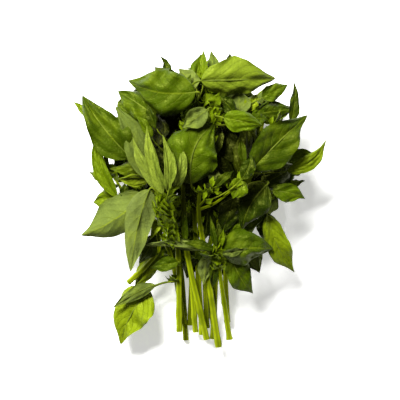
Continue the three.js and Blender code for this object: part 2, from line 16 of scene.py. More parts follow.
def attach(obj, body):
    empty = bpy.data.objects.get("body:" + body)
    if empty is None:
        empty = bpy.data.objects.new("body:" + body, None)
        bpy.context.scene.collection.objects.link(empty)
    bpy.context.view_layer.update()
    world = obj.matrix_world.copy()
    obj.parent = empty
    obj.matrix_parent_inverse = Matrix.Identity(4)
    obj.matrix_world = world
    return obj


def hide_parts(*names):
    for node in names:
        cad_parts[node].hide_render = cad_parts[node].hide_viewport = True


bl_info = {
    "name": "Basil Bunch",
    "version": (1, 0, 0),
    "blender": (4, 5, 0),
    "location": "View3D > Sidebar > Basil",
    "description": "Dresses a bunch of cut basil with veined leaves, grooved stems and young shoots",
    "category": "Object",
}

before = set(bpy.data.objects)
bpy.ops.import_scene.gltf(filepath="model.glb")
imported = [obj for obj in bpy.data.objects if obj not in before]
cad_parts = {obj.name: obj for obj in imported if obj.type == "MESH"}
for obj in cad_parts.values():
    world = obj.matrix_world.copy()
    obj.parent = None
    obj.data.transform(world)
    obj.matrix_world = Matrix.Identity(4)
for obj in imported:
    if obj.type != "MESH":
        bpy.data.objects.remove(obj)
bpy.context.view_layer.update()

MM = 0.001
SHIFT = np.array([0.5368805, -0.1345596, 0.0])  # from the tables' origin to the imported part's, mm

# Every cut stem: its plant, its radius at the cut end and at the tip, and the points it runs
# through, in millimetres
STEMS = [
    ("stem_front_left", 3.2, 1.3,
     [[-19, -120, 19], [-20, -45, 38], [-28, -5, 54], [-48, 40, 58], [-58, 74, 52]]),
    ("stem_front_slanting", 3.3, 1.3,
     [[6, -127, 19], [-12, -46, 40], [-15, 0, 58], [-14, 45, 60], [-12, 88, 54]]),
    ("stem_front_middle", 3.3, 1.4,
     [[17, -134, 16], [3, -40, 40], [-1, -6, 58], [4, 40, 66], [12, 80, 64]]),
    ("stem_front_short", 3.0, 1.6,
     [[27, -127, 17], [23, -100, 26], [18, -66, 43], [17, -46, 54]]),
    ("stem_front_right", 3.1, 1.3,
     [[12, -127, 8], [16, -48, 30], [26, -8, 46], [50, 34, 54], [66, 66, 50]]),
    ("stem_left_outer", 3.0, 1.2,
     [[-15, -113, 10], [-28, -46, 27], [-52, -12, 34], [-70, 8, 36], [-80, 26, 34]]),
    ("stem_left_upper", 2.9, 1.2,
     [[-4, -121, 11], [-12, -47, 26], [-36, 18, 34], [-54, 52, 36], [-64, 72, 34]]),
    ("stem_middle_upper", 3.0, 1.2,
     [[2, -123, 13], [-3, -48, 28], [-6, 20, 40], [0, 70, 42], [6, 108, 40]]),
    ("stem_right_upper", 2.9, 1.2,
     [[6, -117, 6.5], [7, -48, 25], [34, 16, 36], [52, 54, 38], [60, 80, 36]]),
    ("stem_right_outer", 2.9, 1.2,
     [[25, -112, 7], [25, -50, 22], [48, -14, 32], [68, 6, 36], [80, 22, 34]]),
    ("stem_back_left", 3.0, 1.2,
     [[-13, -129, 2.9], [-20, -50, 12], [-43, 0, 15], [-70, 40, 15], [-84, 62, 13]]),
    ("stem_back_middle", 3.0, 1.2,
     [[-9, -115, 3], [-8, -50, 13], [-16, 10, 17], [-24, 66, 16], [-28, 98, 15]]),
    ("stem_back_right", 3.0, 1.2,
     [[13, -121, 2.9], [7, -52, 13], [26, 10, 17], [44, 60, 15], [54, 84, 14]]),
    ("stem_stray_left", 2.8, 1.3,
     [[-65, -75, 26], [-48, -59, 36], [-37, -42, 42], [-43, -16, 46], [-56, 8, 46]]),
]

# Side shoots: their plant, how far along its stem they start, radius and points
SHOOTS = [
    ("stem_front_middle", 0.48, 1.7,
     [[13, -3, 66], [25, 6, 72], [37, 17, 75]]),
    ("stem_front_middle", 0.5, 1.4,
     [[6, 2, 67], [13, 11, 72]]),
    ("stem_front_left", 0.3, 2.4,
     [[-24, -38, 52], [-26, -22, 62], [-31, -8, 69], [-32, 4, 74]]),
]

# Leaves seen from above: base, tip, width, arch of the rib, roll, fold at the rib, curl to the
# edge, twist, sweep and, on some, where the stalk starts; millimetres and degrees
PLACED = [
    # crown of the bunch
    [[-4, 96, 74], [-65, 107, 60], 45, 8, -14, 12, -54, -14, -4],
    [[1, 106, 72], [68, 109, 60], 40, 7, 22, 4, -48, -8, -2],
    [[-8, 14, 70], [14, 69, 66], 52, 13, -4, 12, -50, 14, -8],
    [[21, 73, 80], [56, 66, 77], 20, 4, 4, 12, -34, 6, 0, [12, 80, 64]],
    [[6, 80, 81], [-16, 64, 82], 19, 2, 174, -6, -20, 0, 0],
    [[31, 77, 72], [17, 93, 70], 13, 1, 10, 20, -20, 0, 0],
    [[36, 76, 66], [34, 101, 62], 19, 1, 172, 8, -10, 0, 0],
    [[42, 80, 60], [52, 95, 57], 13, 1, 0, 15, 0, 0, 0],
    [[45, 74, 66], [62, 89, 64], 8, 1, 30, 25, 0, 0, 0],
    [[44, 73, 70], [61, 72, 67], 10, 1, -10, 12, 0, 0, 0],
    [[-44, 18, 72], [-76, 84, 62], 27, 4, 174, 8, 16, 14, -3],
    [[-62, 38, 54], [-106, 94, 46], 34, 5, 4, 24, -24, 16, -3],
    [[-40, 75, 60], [-74, 98, 48], 26, 4, 10, 14, -40, 18, 0],
    [[-56, 72, 50], [-75, 86, 44], 16, 3, 8, 0, -20, 0, 0],
    [[-43, 56, 68], [-57, 76, 64], 10, 2, 30, 20, -10, 0, 0],
    [[-39, 64, 66], [-46, 86, 62], 9, 1, -30, 25, 0, 30, 0],
    # tips that stand out past the crown
    [[-29, 112, 50], [-36, 130, 46], 9, -3, 20, 25, 10, 40, 3],
    [[-25, 100, 54], [-41, 120, 48], 24, 3, 0, 0, -25, 0, 0],
    [[-6, 104, 54], [1, 132, 46], 14, 2, 10, 20, -10, 0, 0],
    [[3, 108, 56], [4, 135, 48], 10, 1, -20, 25, 0, 0, 0],
    [[12, 111, 50], [10, 135, 44], 12, 2, 165, 15, -12, 20, 0],
    [[27, 112, 48], [27, 133, 43], 11, 1, 0, 22, 0, 0, 0],
    [[-4, 100, 60], [-19, 118, 54], 19, 2, 170, 5, -10, 0, 0],
    # left side
    [[-96, 72, 40], [-115, 89, 36], 9, 1, 20, 18, 0, 0, 0],
    [[-75, 3, 50], [-93, 65, 43], 15, 4, -12, 30, -6, -10, -6],
    [[-74, 3, 43], [-97, -2, 36], 19, 3, -6, 16, -40, 20, 0],
    [[-45, 27, 54], [-81, 28, 46], 16, 3, 10, -6, -20, 0, 0],
    [[-44, 20, 62], [-75, 20, 55], 13, 2, -30, 20, 0, 0, 0],
    [[-68, 2, 56], [-67, 15, 53], 9, 1, 0, 15, 0, 0, 0],
    [[-51, 5, 64], [-106, -31, 52], 38, 4, 176, 10, 14, -10, 5],
    [[-45, 9, 78], [-62, -64, 62], 27, 3, 182, 8, 12, 0, -3],
    # long leaves of the shoot that lies on the left of the middle
    [[-28, 8, 83], [-33, 58, 85], 10, 4, 10, 24, -14, 14, 2],
    [[-33, 6, 81], [-47, 66, 79], 12, 3, 0, 20, -12, 10, -3],
    [[-37, 9, 77], [-60, 56, 74], 11, 3, -8, 22, -8, 0, -2],
    [[-23, 9, 80], [-17, 48, 80], 11, 4, 12, 18, -14, 0, 3],
    [[-43, 12, 60], [-71, 44, 54], 15, 2, -10, 20, -16, 16, 0],
    [[-27, 3, 79], [-16, 12, 80], 6, 3, 0, 30, 0, 0, -3],
    [[-28, -3, 77], [-17, 3, 78], 6, 3, 0, 30, 0, 0, -3],
    # right side
    [[46, 27, 72], [96, 76, 58], 35, 6, 12, 18, -30, 10, -2],
    [[54, 78, 52], [84, 82, 45], 20, 3, 0, 0, -20, 0, 0],
    [[82, 70, 46], [85, 107, 41], 10, 2, 20, 20, 0, 10, 1],
    [[56, 92, 58], [80, 102, 52], 15, 2, 0, 8, -16, 0, 0],
    [[76, 38, 50], [103, 42, 45], 14, 2, -10, 12, -10, 0, 1],
    [[79, 26, 52], [114, 53, 44], 14, 2, 10, 14, 0, 20, 6],
    [[56, 14, 54], [88, 33, 47], 28, 4, 8, 0, -24, 0, 0],
    [[65, 8, 52], [95, 1, 44], 17, 3, 0, 8, -16, 15, -2],
    [[60, 14, 60], [38, -27, 52], 32, 6, 14, 14, -44, -12, 3],
    [[31, 2, 52], [20, -30, 44], 22, 4, 0, -4, -22, 0, 0],
    [[61, -14, 50], [86, -66, 28], 23, 5, -6, 20, -40, 40, 4],
    [[19, -47, 56], [65, -44, 44], 36, 9, 10, 12, -62, 18, -4],
    [[45, -43, 44], [54, -66, 36], 20, 3, 175, 10, 10, 0, 0],
    [[28, -50, 50], [48, -85, 32], 23, 4, 8, 18, -30, 16, 2],
    [[26, -30, 46], [57, -17, 48], 17, 3, 10, 0, -20, 0, 0],
    [[20, -48, 60], [43, -43, 60], 8, 1, 20, 22, 0, 0, 0],
    # small leaves on the shoots right of the middle
    [[38, 18, 76], [29, 1, 74], 18, 2, 0, 14, -24, 10, 0],
    [[37, 19, 79], [46, 41, 78], 13, 3, 0, 22, -20, 20, 2],
    [[14, 12, 77], [30, 26, 77], 9, 2, -20, 28, 0, 0, 0],
    [[12, 14, 74], [13, 29, 71], 11, 2, 10, 12, 0, 0, 0],
    [[11, 12, 72], [-1, 18, 67], 10, 2, 160, 10, 0, 0, 0],
    [[39, 34, 68], [36, 55, 66], 8, 1, 0, 20, 0, 0, 0],
    [[7, 68, 68], [3, 84, 66], 7, 1, 0, 22, 0, 0, 0],
    [[11, 68, 68], [13, 84, 66], 7, 1, 0, 22, 0, 0, 0],
    # neck of the bunch
    [[13, -47, 54], [-54, -40, 56], 15, 1, 130, 24, 0, 20, -2],
    [[12, -44, 57], [-16, -38, 57], 10, 1, 30, 22, 0, 0, 0],
    [[14, -41, 64], [9, -14, 66], 6, 1, 0, 28, 0, 0, 0, [17, -50, 53]],
    [[18, -42, 60], [21, -26, 64], 6, 1, 0, 28, 0, 0, 0],
    [[7, -49, 47], [3, -77, 36], 13, 2, 165, 12, 0, 0, 0],
    [[14, -54, 46], [11, -80, 36], 9, 2, 0, 18, 0, 0, 0],
    [[-20, -56, 44], [-45, -61, 40], 13, 2, 0, 12, -8, 0, 0],
    [[-38, -48, 34], [-60, -80, 22], 19, 3, 10, 12, -30, 14, 0],
    [[-46, -82, 27], [-72, -131, 13], 37, 5, 20, 12, -22, -8, 3, [-20, -76, 31]],
    [[-41, -77, 40], [-79, -98, 34], 12, 2, 178, 8, 0, 0, -2, [-20, -76, 31]],
    [[-34, -14, 60], [-45, -36, 54], 8, 1, 0, 20, 0, 0, 0],
    [[-13, -36, 54], [-14, -9, 59], 6, 1, 0, 20, 0, 0, 0],
    # deep between the stems
    [[-14, -40, 22], [-40, -60, 15], 24, 3, 0, 0, -16, 0, 0],
    [[-4, -42, 20], [-12, -72, 12], 18, 2, 0, 6, -12, 0, 0],
    [[10, -42, 20], [24, -70, 12], 20, 2, 0, 6, -12, 0, 0],
    [[24, -40, 30], [48, -56, 20], 24, 3, 0, 0, -16, 0, 0],
    [[-2, -36, 34], [-6, -62, 27], 16, 2, 0, 6, -12, 0, 0],
    [[-38, -32, 42], [-55, -57, 36], 18, 3, 0, 0, -14, 0, 0],
    [[-10, -6, 35], [-30, -34, 29], 22, 2, 0, 0, -14, 0, 0],
    [[8, -4, 33], [4, -36, 29], 20, 2, 0, 0, -14, 0, 0],
    [[22, -8, 33], [30, -38, 27], 20, 2, 0, 0, -14, 0, 0],
    [[60, -12, 34], [64, -44, 22], 20, 3, 0, 0, -14, 0, 0],
    # deep in the foliage
    [[30, 34, 50], [22, 66, 46], 24, 3, 0, 0, -14, 0, 0],
    [[-2, 72, 42], [12, 100, 38], 22, 3, 0, 0, -14, 0, 0],
    [[-30, 58, 34], [-20, 92, 32], 24, 3, 0, 0, -14, 0, 0],
    # narrow young leaves over the long ones
    [[-30, 10, 87], [-42, 43, 89], 7, 2, 20, 26, 0, 10, -2],
    [[-26, 14, 86], [-24, 42, 88], 7, 2, -10, 26, 0, 0, 2],
]

# Where young leaves crowd along a stem: its plant, which of its runs (0 is the main stem),
# from and to where along it, how many pairs and, on some, how closely they hug it and how
# large they are
CLUSTERS = [
    ("stem_front_left", 1, 0.17, 0.86, 30, 3.2, 1.29),
    ("stem_front_left", 1, 0.6, 0.98, 10),
    ("stem_front_left", 0, 0.36, 0.5, 8),
    ("stem_front_middle", 1, 0.7, 1.0, 3),
    ("stem_front_middle", 2, 0.7, 1.0, 2),
    ("stem_front_middle", 0, 0.74, 0.86, 2),
    ("stem_front_short", 0, 0.72, 1.0, 14),
    ("stem_front_right", 0, 0.8, 1.0, 6),
    ("stem_front_slanting", 0, 0.8, 1.0, 11),
    ("stem_left_upper", 0, 0.27, 0.62, 12),
    ("stem_left_upper", 0, 0.85, 1.0, 4),
    ("stem_left_outer", 0, 0.22, 0.6, 13),
    ("stem_left_outer", 0, 0.8, 1.0, 5),
    ("stem_right_upper", 0, 0.85, 1.0, 4),
    ("stem_right_outer", 0, 0.8, 1.0, 5),
    ("stem_middle_upper", 0, 0.22, 0.5, 10),
    ("stem_middle_upper", 0, 0.8, 1.0, 16, 0.5, 1.8),
    ("stem_back_left", 0, 0.27, 0.84, 24),
    ("stem_back_left", 0, 0.85, 1.0, 4),
    ("stem_back_middle", 0, 0.27, 0.6, 11),
    ("stem_back_middle", 0, 0.85, 1.0, 4),
    ("stem_back_right", 0, 0.24, 0.6, 15),
    ("stem_back_right", 0, 0.85, 1.0, 4),
]

# How light the green is on some of the leaves seen from above, from 0 deep to 1 bright, by
# their rows in the table of leaves; partly their own green, partly painted light and shade
TONES = {
    0: 0.45, 1: 0.84, 2: 0.55, 3: 0.66, 4: 0.5, 10: 0.7, 11: 0.4, 12: 0.45, 17: 0.15, 26: 0.75,
    27: 0.9, 31: 0.95, 32: 1.0, 33: 0.9, 34: 0.85, 35: 0.8, 38: 0.34, 41: 0.5, 42: 0.65, 43: 0.8,
    44: 0.15, 45: 0.55, 46: 0.05, 47: 0.05, 48: 0.85, 49: 0.4, 51: 0.5, 67: 0.2, 70: 0.94, 71: 0.6,
    87: 0.8, 88: 0.8,
}

# How far some of them fade to the dull, greyer green of the undersides: a painted grey sheen
PAINTED_GREY_SHEEN = {
    1: 0.22, 10: 0.5, 31: 0.5, 32: 0.5, 33: 0.55, 34: 0.5, 35: 0.4, 53: 0.4, 57: 0.6, 61: 0.5,
    87: 0.4, 88: 0.4,
}

# Those with strong folds
RUFFLED = (0, 2, 10, 11, 31, 32, 33, 34, 35, 46, 49, 53, 57, 61, 70, 87, 88)

# Shells of leaves that clothe the sides, the back and the inside: number of leaves, size
# against the outermost shell, height of its top, how steeply its leaves may face up, and its
# shortest and longest blade
SHELLS = [
    (104, 1.0, 40, 0.3, (38, 60)),
    (64, 0.8, 20, 1, (38, 60)),
    (30, 0.52, 8, 1, (38, 60)),
    (46, 0.86, 27, 0.85, (22, 36)),
]
SHELL_FIRST = 1000  # number of the first leaf, and from one shell's first to the next one's
SHELL_SLIM = (0.46, 0.58)  # least and greatest width, as a share of the length
SHELL_YAW = 110  # degrees over which the leaves swing about their way from the neck
FOOT_BARE = -44  # the shells have no leaves nearer the cut ends
GOLDEN_TURN = math.pi * (3 - math.sqrt(5))

# The mass of foliage is an ellipsoid, and its colours get painted shade towards the inside
MASS_CENTRE = np.array([0.0, 34.0, 44.0])
MASS_HALF = np.array([100.0, 86.0, 47.0])
NECK = np.array([0.0, -50.0, 26.0])
SHADE_START = 0.9  # where its painted shade begins, as a share of its half sizes
SHADE_SPAN = 0.4  # and how much further in it is full

# The dark gap under the crown's left leaf, where the colours get painted shade
HOLLOW = np.array([-27.0, 68.0, 70.0])  # middle of its top
HOLLOW_WIDE = 19.0
HOLLOW_EDGE = 7  # how far in from its edge its painted shade is full
HOLLOW_DROP = 6  # and how far under its top
HOLLOW_REACH = 10  # how far outside its edge the shells' leaves begin to get painted shade
HOLLOW_FADE = 5  # and how much nearer their painted shade is full

# Leaves and where they grow
UP = np.array([0.0, 0.0, 1.0])
BLADE_THICK = 0.8  # of the part's own plates
CORNER_GAP = 0.05  # a leaf is found where both corners of its tip are this near
FEWEST_LEAVES = 100
PERCHES = 48  # places along a stem where a stalk may start
STALK_LEAN = 0.7  # how far back along the stem it starts, as a share of its gap to the blade
SHOOT_TIP = 1.0  # radius of a side shoot at its tip
ROSETTE_FIRST = 500  # number of the first leaf at a stem's tip
ROSETTE_LENGTH = (15, 26)  # shortest and longest of those leaves

# Form of the blades, in millimetres or as shares of their length and half width
LARGE_LEAF = 30  # from this length on a blade has the fine grid
LARGE_GRID = (48, 20)  # rows along it and columns across it
SMALL_GRID = (28, 12)
FULL_WIDE = 34  # blades this wide have puckers, waves and folds of full height
RIPPLED_WIDE = 22  # and this wide, fine folds of full height
RIPPLE_CLEAR = 3  # the fine folds begin this far from the rib
VEIN_BOW = 1.35  # power by which the side veins bend forward
TAPER_START = 0.62  # where a blade begins to narrow to its drawn-out tip
TAPER = (0.22, 0.42)  # least and most that it narrows by
BASE_WIDE = 0.8  # least half width at the base, over that at the tip
TIP_WIDE = 0.12
SCALLOP = 0.016  # depth of the scallops of the margin
SWELL = 0.09  # how far each half is wider here and narrower there
GROOVE_DEEP = 0.5  # of the groove over the rib, at the base
GROOVE_WIDE = 1.1
EDGE_THIN = 0.45  # how much thinner the margin is than the rib
LEAST_OVER = 0.4  # least height of the upper face over the table
LEAST_UNDER = 0.05  # and of the lower face and the stalk
LEAF_SHARP = 62  # degrees from which an edge is sharp

# Form of the stalks and of the ribs under the blades
ROOT_WIDE = 2.2
STALK_WIDE = 1.9
STALK_RINGS = 9
STALK_SIDES = 10
RIB_RINGS = 14
RIB_RADIUS = (0.8, 0.16)  # at the base and at the end
RIB_END = 0.88  # how far along the blade the rib stands out

# Form of the stems
RING_GAP = 2.5  # from one ring of points to the next
CUT_EDGE = 0.25  # from the cut to the first ring of the rind
KNOT_WIDE = 2.2
STEM_SHARP = 60

# Young pairs of leaves
BARE_AXILS = 0.25  # share of the axils without one
AXIL_GAP = 2.0  # how far out of the axil a pair starts
BUD_FIRST = 900  # number of the first of its two leaves
BUD_LONG = 10.0  # length in which the pair is drawn
BUD_THICK = 0.24
BUD_GRID = (8, 4)
YOUNG_SHARE = 0.75  # how much of their green is the young one

# Finish of a blade's two faces: shares of the vein colour on rib and veins, heights of the
# veins and of the net between them, least and most roughness, and gloss
UPPER_FINISH = dict(rib=0.32, veins=0.26, vein_high=-1.1, net_high=-0.35, rough=(0.36, 0.5), gloss=0.18)
UNDER_FINISH = dict(rib=0.6, veins=0.4, vein_high=0.9, net_high=0.5, rough=(0.5, 0.62), gloss=0.1)
LEAF_TINT = (0.9, 1.0, 0.15, 1.0)  # colour of the gloss
STEM_TINT = (0.95, 1.0, 0.15, 1.0)

# The stage, in metres
TABLE_HALF = 3
KEY_SIZE = (0.7, 0.5)
KEY_PLACE = (-0.55, 0.92, 1.3)
MIDDLE_HIGH = 0.05  # height of the bunch's middle
SENSOR_WIDE = 36  # millimetres


# Sizes and colours


def linear(code):
    """The linear colour of a hex code."""
    parts = [int(code[i : i + 2], 16) / 255 for i in (0, 2, 4)]
    return [p / 12.92 if p <= 0.04045 else ((p + 0.055) / 1.055) ** 2.4 for p in parts] + [1.0]


def colour_property(name, description, code):
    return bpy.props.FloatVectorProperty(
        name=name, description=description, default=linear(code), size=4, min=0, max=1, subtype="COLOR"
    )


def number_property(name, description, default, **kind):
    return bpy.props.FloatProperty(name=name, description=description, default=default, **kind)


def length_property(name, description, metres):
    return number_property(name, description, metres, min=0, unit="LENGTH", subtype="DISTANCE")


def count_property(name, description, default, least, most):
    return bpy.props.IntProperty(name=name, description=description, default=default, min=least, max=most)


class BasilLeafSettings(bpy.types.PropertyGroup):
    """Sizes and colours of the blades."""

    thickness: length_property("Thickness", "Thickness of a blade at its rib", 0.0005)
    pucker: length_property("Pucker", "Height of the bulges between a large blade's veins", 0.00075)
    wave: length_property("Wave", "Height of the waves along a large blade's margin", 0.0022)
    crumple: length_property("Crumple", "Height of the soft folds that run across a large blade", 0.0026)
    ruffle: length_property("Ruffle", "Height of the fine folds in young, hairy blades", 0.0013)
    pairs: count_property("Vein pairs", "Side veins on each half of a blade", 6, 3, 10)
    slant: number_property(
        "Vein slant",
        "How far a side vein climbs on its way to the margin, as a share of the blade",
        0.44,
        subtype="FACTOR",
    )
    bright: colour_property("Sunny green", "Colour of the brightest upper faces", "66750A")
    middle: colour_property("Leaf green", "Colour of most upper faces", "3E5102")
    dark: colour_property("Deep green", "Colour of the deepest upper faces", "182501")
    under: colour_property("Underside green", "Paler, duller colour of the lower faces", "55602B")
    # painted shade: the near-black green laid over leaves and stems deep in the bunch and in the dark gap
    painted_shade_green: colour_property("Hollow green", "Colour deep inside the bunch, where the light is low", "050700")
    vein: colour_property("Vein green", "Colour of ribs and veins", "6C7814")
    young: colour_property("Young green", "Colour of buds and small new leaves", "536604")


class BasilStemSettings(bpy.types.PropertyGroup):
    """Sizes and colours of the stems."""

    sides: count_property("Sides", "Points round a stem's section", 20, 8, 48)
    groove: number_property(
        "Groove",
        "How far the four faces lie inside the corners, as a share of the radius",
        0.13,
        subtype="FACTOR",
    )
    knot: number_property("Knot", "Swelling of a stem where leaves part from it", 0.22, subtype="FACTOR")
    knot_gap: length_property("Knot spacing", "Distance from one swelling to the next", 0.036)
    skin: colour_property("Stem green", "Colour of the stems", "7C8A04")
    # a duller green for streaks, patches and stalks, and painted shade in the stems' grooves
    dull_and_shade_green: colour_property("Old stem green", "Colour of the stems in their grooves", "3C4A01")
    cut: colour_property("Cut end", "Colour of the freshly cut ends", "9AA022")
    bud_size: length_property("Bud size", "Length of a young pair of leaves in a leaf's axil", 0.009)


class BasilStageSettings(bpy.types.PropertyGroup):
    """Floor, light and camera."""

    floor: colour_property("Floor", "Colour of the table", "FAFAF8")
    glow: number_property("Table glow", "Light that the table gives off, which softens shadows", 0.44)
    distance: length_property("Camera distance", "Height of the camera over the bunch's middle", 2.0)
    lens: number_property("Lens", "Focal length in millimetres", 200, unit="CAMERA")
    key: number_property("Key light", "Strength of the large soft light", 100, unit="POWER")
    fill: number_property("Fill", "Strength of the light all round", 0.2)


# Curves


def painted_shade_of(points):
    """How deep points lie inside the mass of foliage and in the dark gap, from 0 outside to 1 at its heart:
    the share of painted shade on them.
    """
    out = np.linalg.norm((points - MASS_CENTRE) / MASS_HALF, axis=-1)
    deep = ((SHADE_START - out) / SHADE_SPAN).clip(0, 1)
    aside = np.linalg.norm((points - HOLLOW)[..., :2], axis=-1)
    inside = ((HOLLOW_WIDE - aside) / HOLLOW_EDGE).clip(0, 1)
    below = ((HOLLOW[2] - points[..., 2]) / HOLLOW_DROP).clip(0, 1)
    return np.maximum(deep, inside * below)


def painted_gap_shade_of(leaf):
    """How far a leaf of the shells lies in the dark gap, from 0 to 1: the share of painted shade over the
    whole leaf.
    """
    if leaf["n"] < SHELL_FIRST:
        return 0.0
    aside = np.linalg.norm(((leaf["base"] + leaf["tip"]) / 2 - HOLLOW)[:2])
    return float(np.clip((HOLLOW_WIDE + HOLLOW_REACH - aside) / HOLLOW_FADE, 0, 1))


def unit(v):
    return v / np.linalg.norm(v, axis=-1, keepdims=True)


def dot(a, b):
    return (a * b).sum(-1, keepdims=True)


def turned_about(v, axis, angle):
    """v turned about a unit axis by an angle in radians; each may be one or a row of them."""
    angle = np.asarray(angle, float)[..., None]
    cos, sin = np.cos(angle), np.sin(angle)
    return v * cos + np.cross(axis, v) * sin + axis * dot(axis, v) * (1 - cos)


def carried(v, start, end):
    """v carried by the shortest turn that takes the unit vector start to end."""
    axis = np.cross(start, end)
    return v + np.cross(axis, v) + np.cross(axis, np.cross(axis, v)) / (1 + dot(start, end))


def bezier(a, b, c, t):
    """Points of the curve from a to c that bends towards b."""
    t = np.asarray(t, float)[..., None]
    return a * (1 - t) ** 2 + b * 2 * t * (1 - t) + c * t**2


def spline(path, t):
    """A point of the smooth curve through the path's points, t from 0 to 1."""
    points = np.asarray(path, float)
    last = len(points) - 1
    place = np.clip(t, 0, 1) * last
    i = min(int(place), last - 1)
    w = place - i
    p1, p2 = points[i], points[i + 1]
    p0 = points[i - 1] if i else 2 * points[0] - points[1]
    p3 = points[i + 2] if i + 2 <= last else 2 * points[last] - points[last - 1]
    d1, d2 = (p2 - p0) / 2, (p3 - p1) / 2
    return p1 + d1 * w + (3 * (p2 - p1) - 2 * d1 - d2) * w**2 + (2 * (p1 - p2) + d1 + d2) * w**3


def run(path, count):
    """Points all along a path's curve."""
    return np.array([spline(path, i / count) for i in range(count + 1)])


def run_length(points):
    return np.linalg.norm(np.diff(points, axis=0), axis=1).sum()


def draw(n, which):
    """A fixed draw from 0 to 1 for the nth leaf."""
    x = math.sin(n * 12.9898 + which * 78.233) * 43758.5453
    return x - math.floor(x)


def mix(span, share):
    """The number a share of the way from the span's first to its last."""
    return span[0] + (span[1] - span[0]) * share


# Plants and leaves


def plants():
    """Every plant with its curves and their radii at both ends, the main stem first."""
    found = [{"name": name, "runs": [(path, cut, tip)]} for name, cut, tip, path in STEMS]
    by_name = {plant["name"]: plant for plant in found}
    for stem, at, radius, path in SHOOTS:
        plant = by_name[stem]
        start = spline(plant["runs"][0][0], at)
        plant["runs"].append(([list(start), *path], radius, SHOOT_TIP))
    return found


def outward(point):
    """The direction straight out of the mass of foliage."""
    return unit((point - MASS_CENTRE) / MASS_HALF**2)


def outline(u):
    """Half width of a blade along its length, as a share of its widest."""
    return np.sin(np.pi * np.clip(u, 0, 1) ** 0.7).clip(0) ** 0.8


def rib_of(leaf):
    """The three points of the rib's curve, and its upper side's direction at its start."""
    along = unit(leaf["tip"] - leaf["base"])
    face = unit(leaf["face"] - along * dot(leaf["face"], along))
    face = turned_about(face, along, math.radians(leaf["roll"]))
    bend = (leaf["base"] + leaf["tip"]) / 2 + face * 2 * leaf["arch"]
    return leaf["base"], bend + np.cross(along, face) * 2 * leaf["sweep"], leaf["tip"], face


def rib_frames(leaf, u):
    """Centre, ahead, right and off the face, at every u along the rib."""
    a, b, c, face = rib_of(leaf)
    u = np.asarray(u, float)
    low, high = np.clip(u - 1e-4, 0, 1), np.clip(u + 1e-4, 0, 1)
    ahead = unit(bezier(a, b, c, high) - bezier(a, b, c, low))
    right = unit(np.cross(ahead, face))
    right = turned_about(right, ahead, math.radians(leaf["twist"]) * (u - 0.5))
    return bezier(a, b, c, u), ahead, right, np.cross(right, ahead)


def turned(leaf, way):
    """The leaf moved the way it faces, and its tip raised and swung round its base."""
    shift, lift, swing, _ = way
    out = leaf["face"]
    chord = leaf["tip"] - leaf["base"]
    chord = turned_about(chord, unit(np.cross(chord, out)), math.radians(lift))
    chord = turned_about(chord, out, math.radians(swing))
    base = leaf["base"] + out * shift
    return {**leaf, "base": base, "tip": base + chord}


def ways_of(shifts, lifts, swings, stems):
    """Every shift, lift and swing in which a leaf may stand, on each of its nearest stems."""
    return [
        (shift, lift, swing + 1.5 * stem, stem)
        for shift in shifts
        for lift in lifts
        for swing in swings
        for stem in range(stems)
    ]


def perches(all_plants):
    """Places where a leaf may grow, all along the stems and shoots."""
    found = []
    for plant in all_plants:
        for path, _, _ in plant["runs"]:
            found.append((run(path, PERCHES), run_length(run(path, 200))))
    return found


def root_on(places, base, nth, lean):
    """Where the stalk of a leaf starts on the nth nearest stem, and that stem's direction."""
    reach = []
    for points, length in places:
        gaps = np.linalg.norm(points - base, axis=1)
        reach.append((gaps.min(), int(gaps.argmin()), points, length))
    gap, best, points, length = sorted(reach, key=lambda item: item[0])[nth]
    last = min(best - math.floor(lean * gap * PERCHES / length + 0.5), PERCHES - 1)
    at = max(2, last)
    return points[at], unit(points[at + 1] - points[at])


def placed_leaves():
    """The leaves seen from above, one by one."""
    for n, (base, tip, wide, arch, roll, fold, curl, twist, sweep, *start) in enumerate(PLACED):
        leaf = dict(wide=wide, arch=arch, roll=roll, fold=fold, curl=curl, twist=twist, sweep=sweep)
        leaf.update(base=np.array(base, float), tip=np.array(tip, float), face=UP, n=n)
        leaf["start"] = np.array(start[0], float) if start else None
        yield leaf, ways_of([0, 2.5, -2.5, 5, -5], [0, 7, -7], [0], 5)


def tip_leaves(all_plants):
    """Two crossed pairs of small leaves at every stem's tip."""
    for n, plant in enumerate(all_plants):
        path = plant["runs"][0][0]
        end = spline(path, 1)
        ahead = unit(end - spline(path, 1 - 1e-4))
        side = unit(np.cross(UP, ahead))
        for k in range(4):
            pair = k >> 1
            turn = math.radians(180 * (k & 1) + 90 * pair + 40 * (draw(n, 1) - 0.5))
            away = turned_about(side, ahead, turn)
            length = mix(ROSETTE_LENGTH, draw(n, 2 + k))
            chord = unit(ahead + away * (0.5 if pair else 1.1))
            base = end + ahead * (1 if pair else -5) + away * 3.5
            leaf = dict(base=base, tip=base + chord * length, wide=length * 0.55, arch=length * 0.08)
            leaf.update(roll=0, fold=14, curl=-12, twist=20 * (draw(n, 7 + k) - 0.5), sweep=0)
            leaf.update(face=outward(base), n=ROSETTE_FIRST + 4 * n + k, start=None)
            yield leaf, ways_of([0], [0, 20, -20], [0, 20, -20], 1)


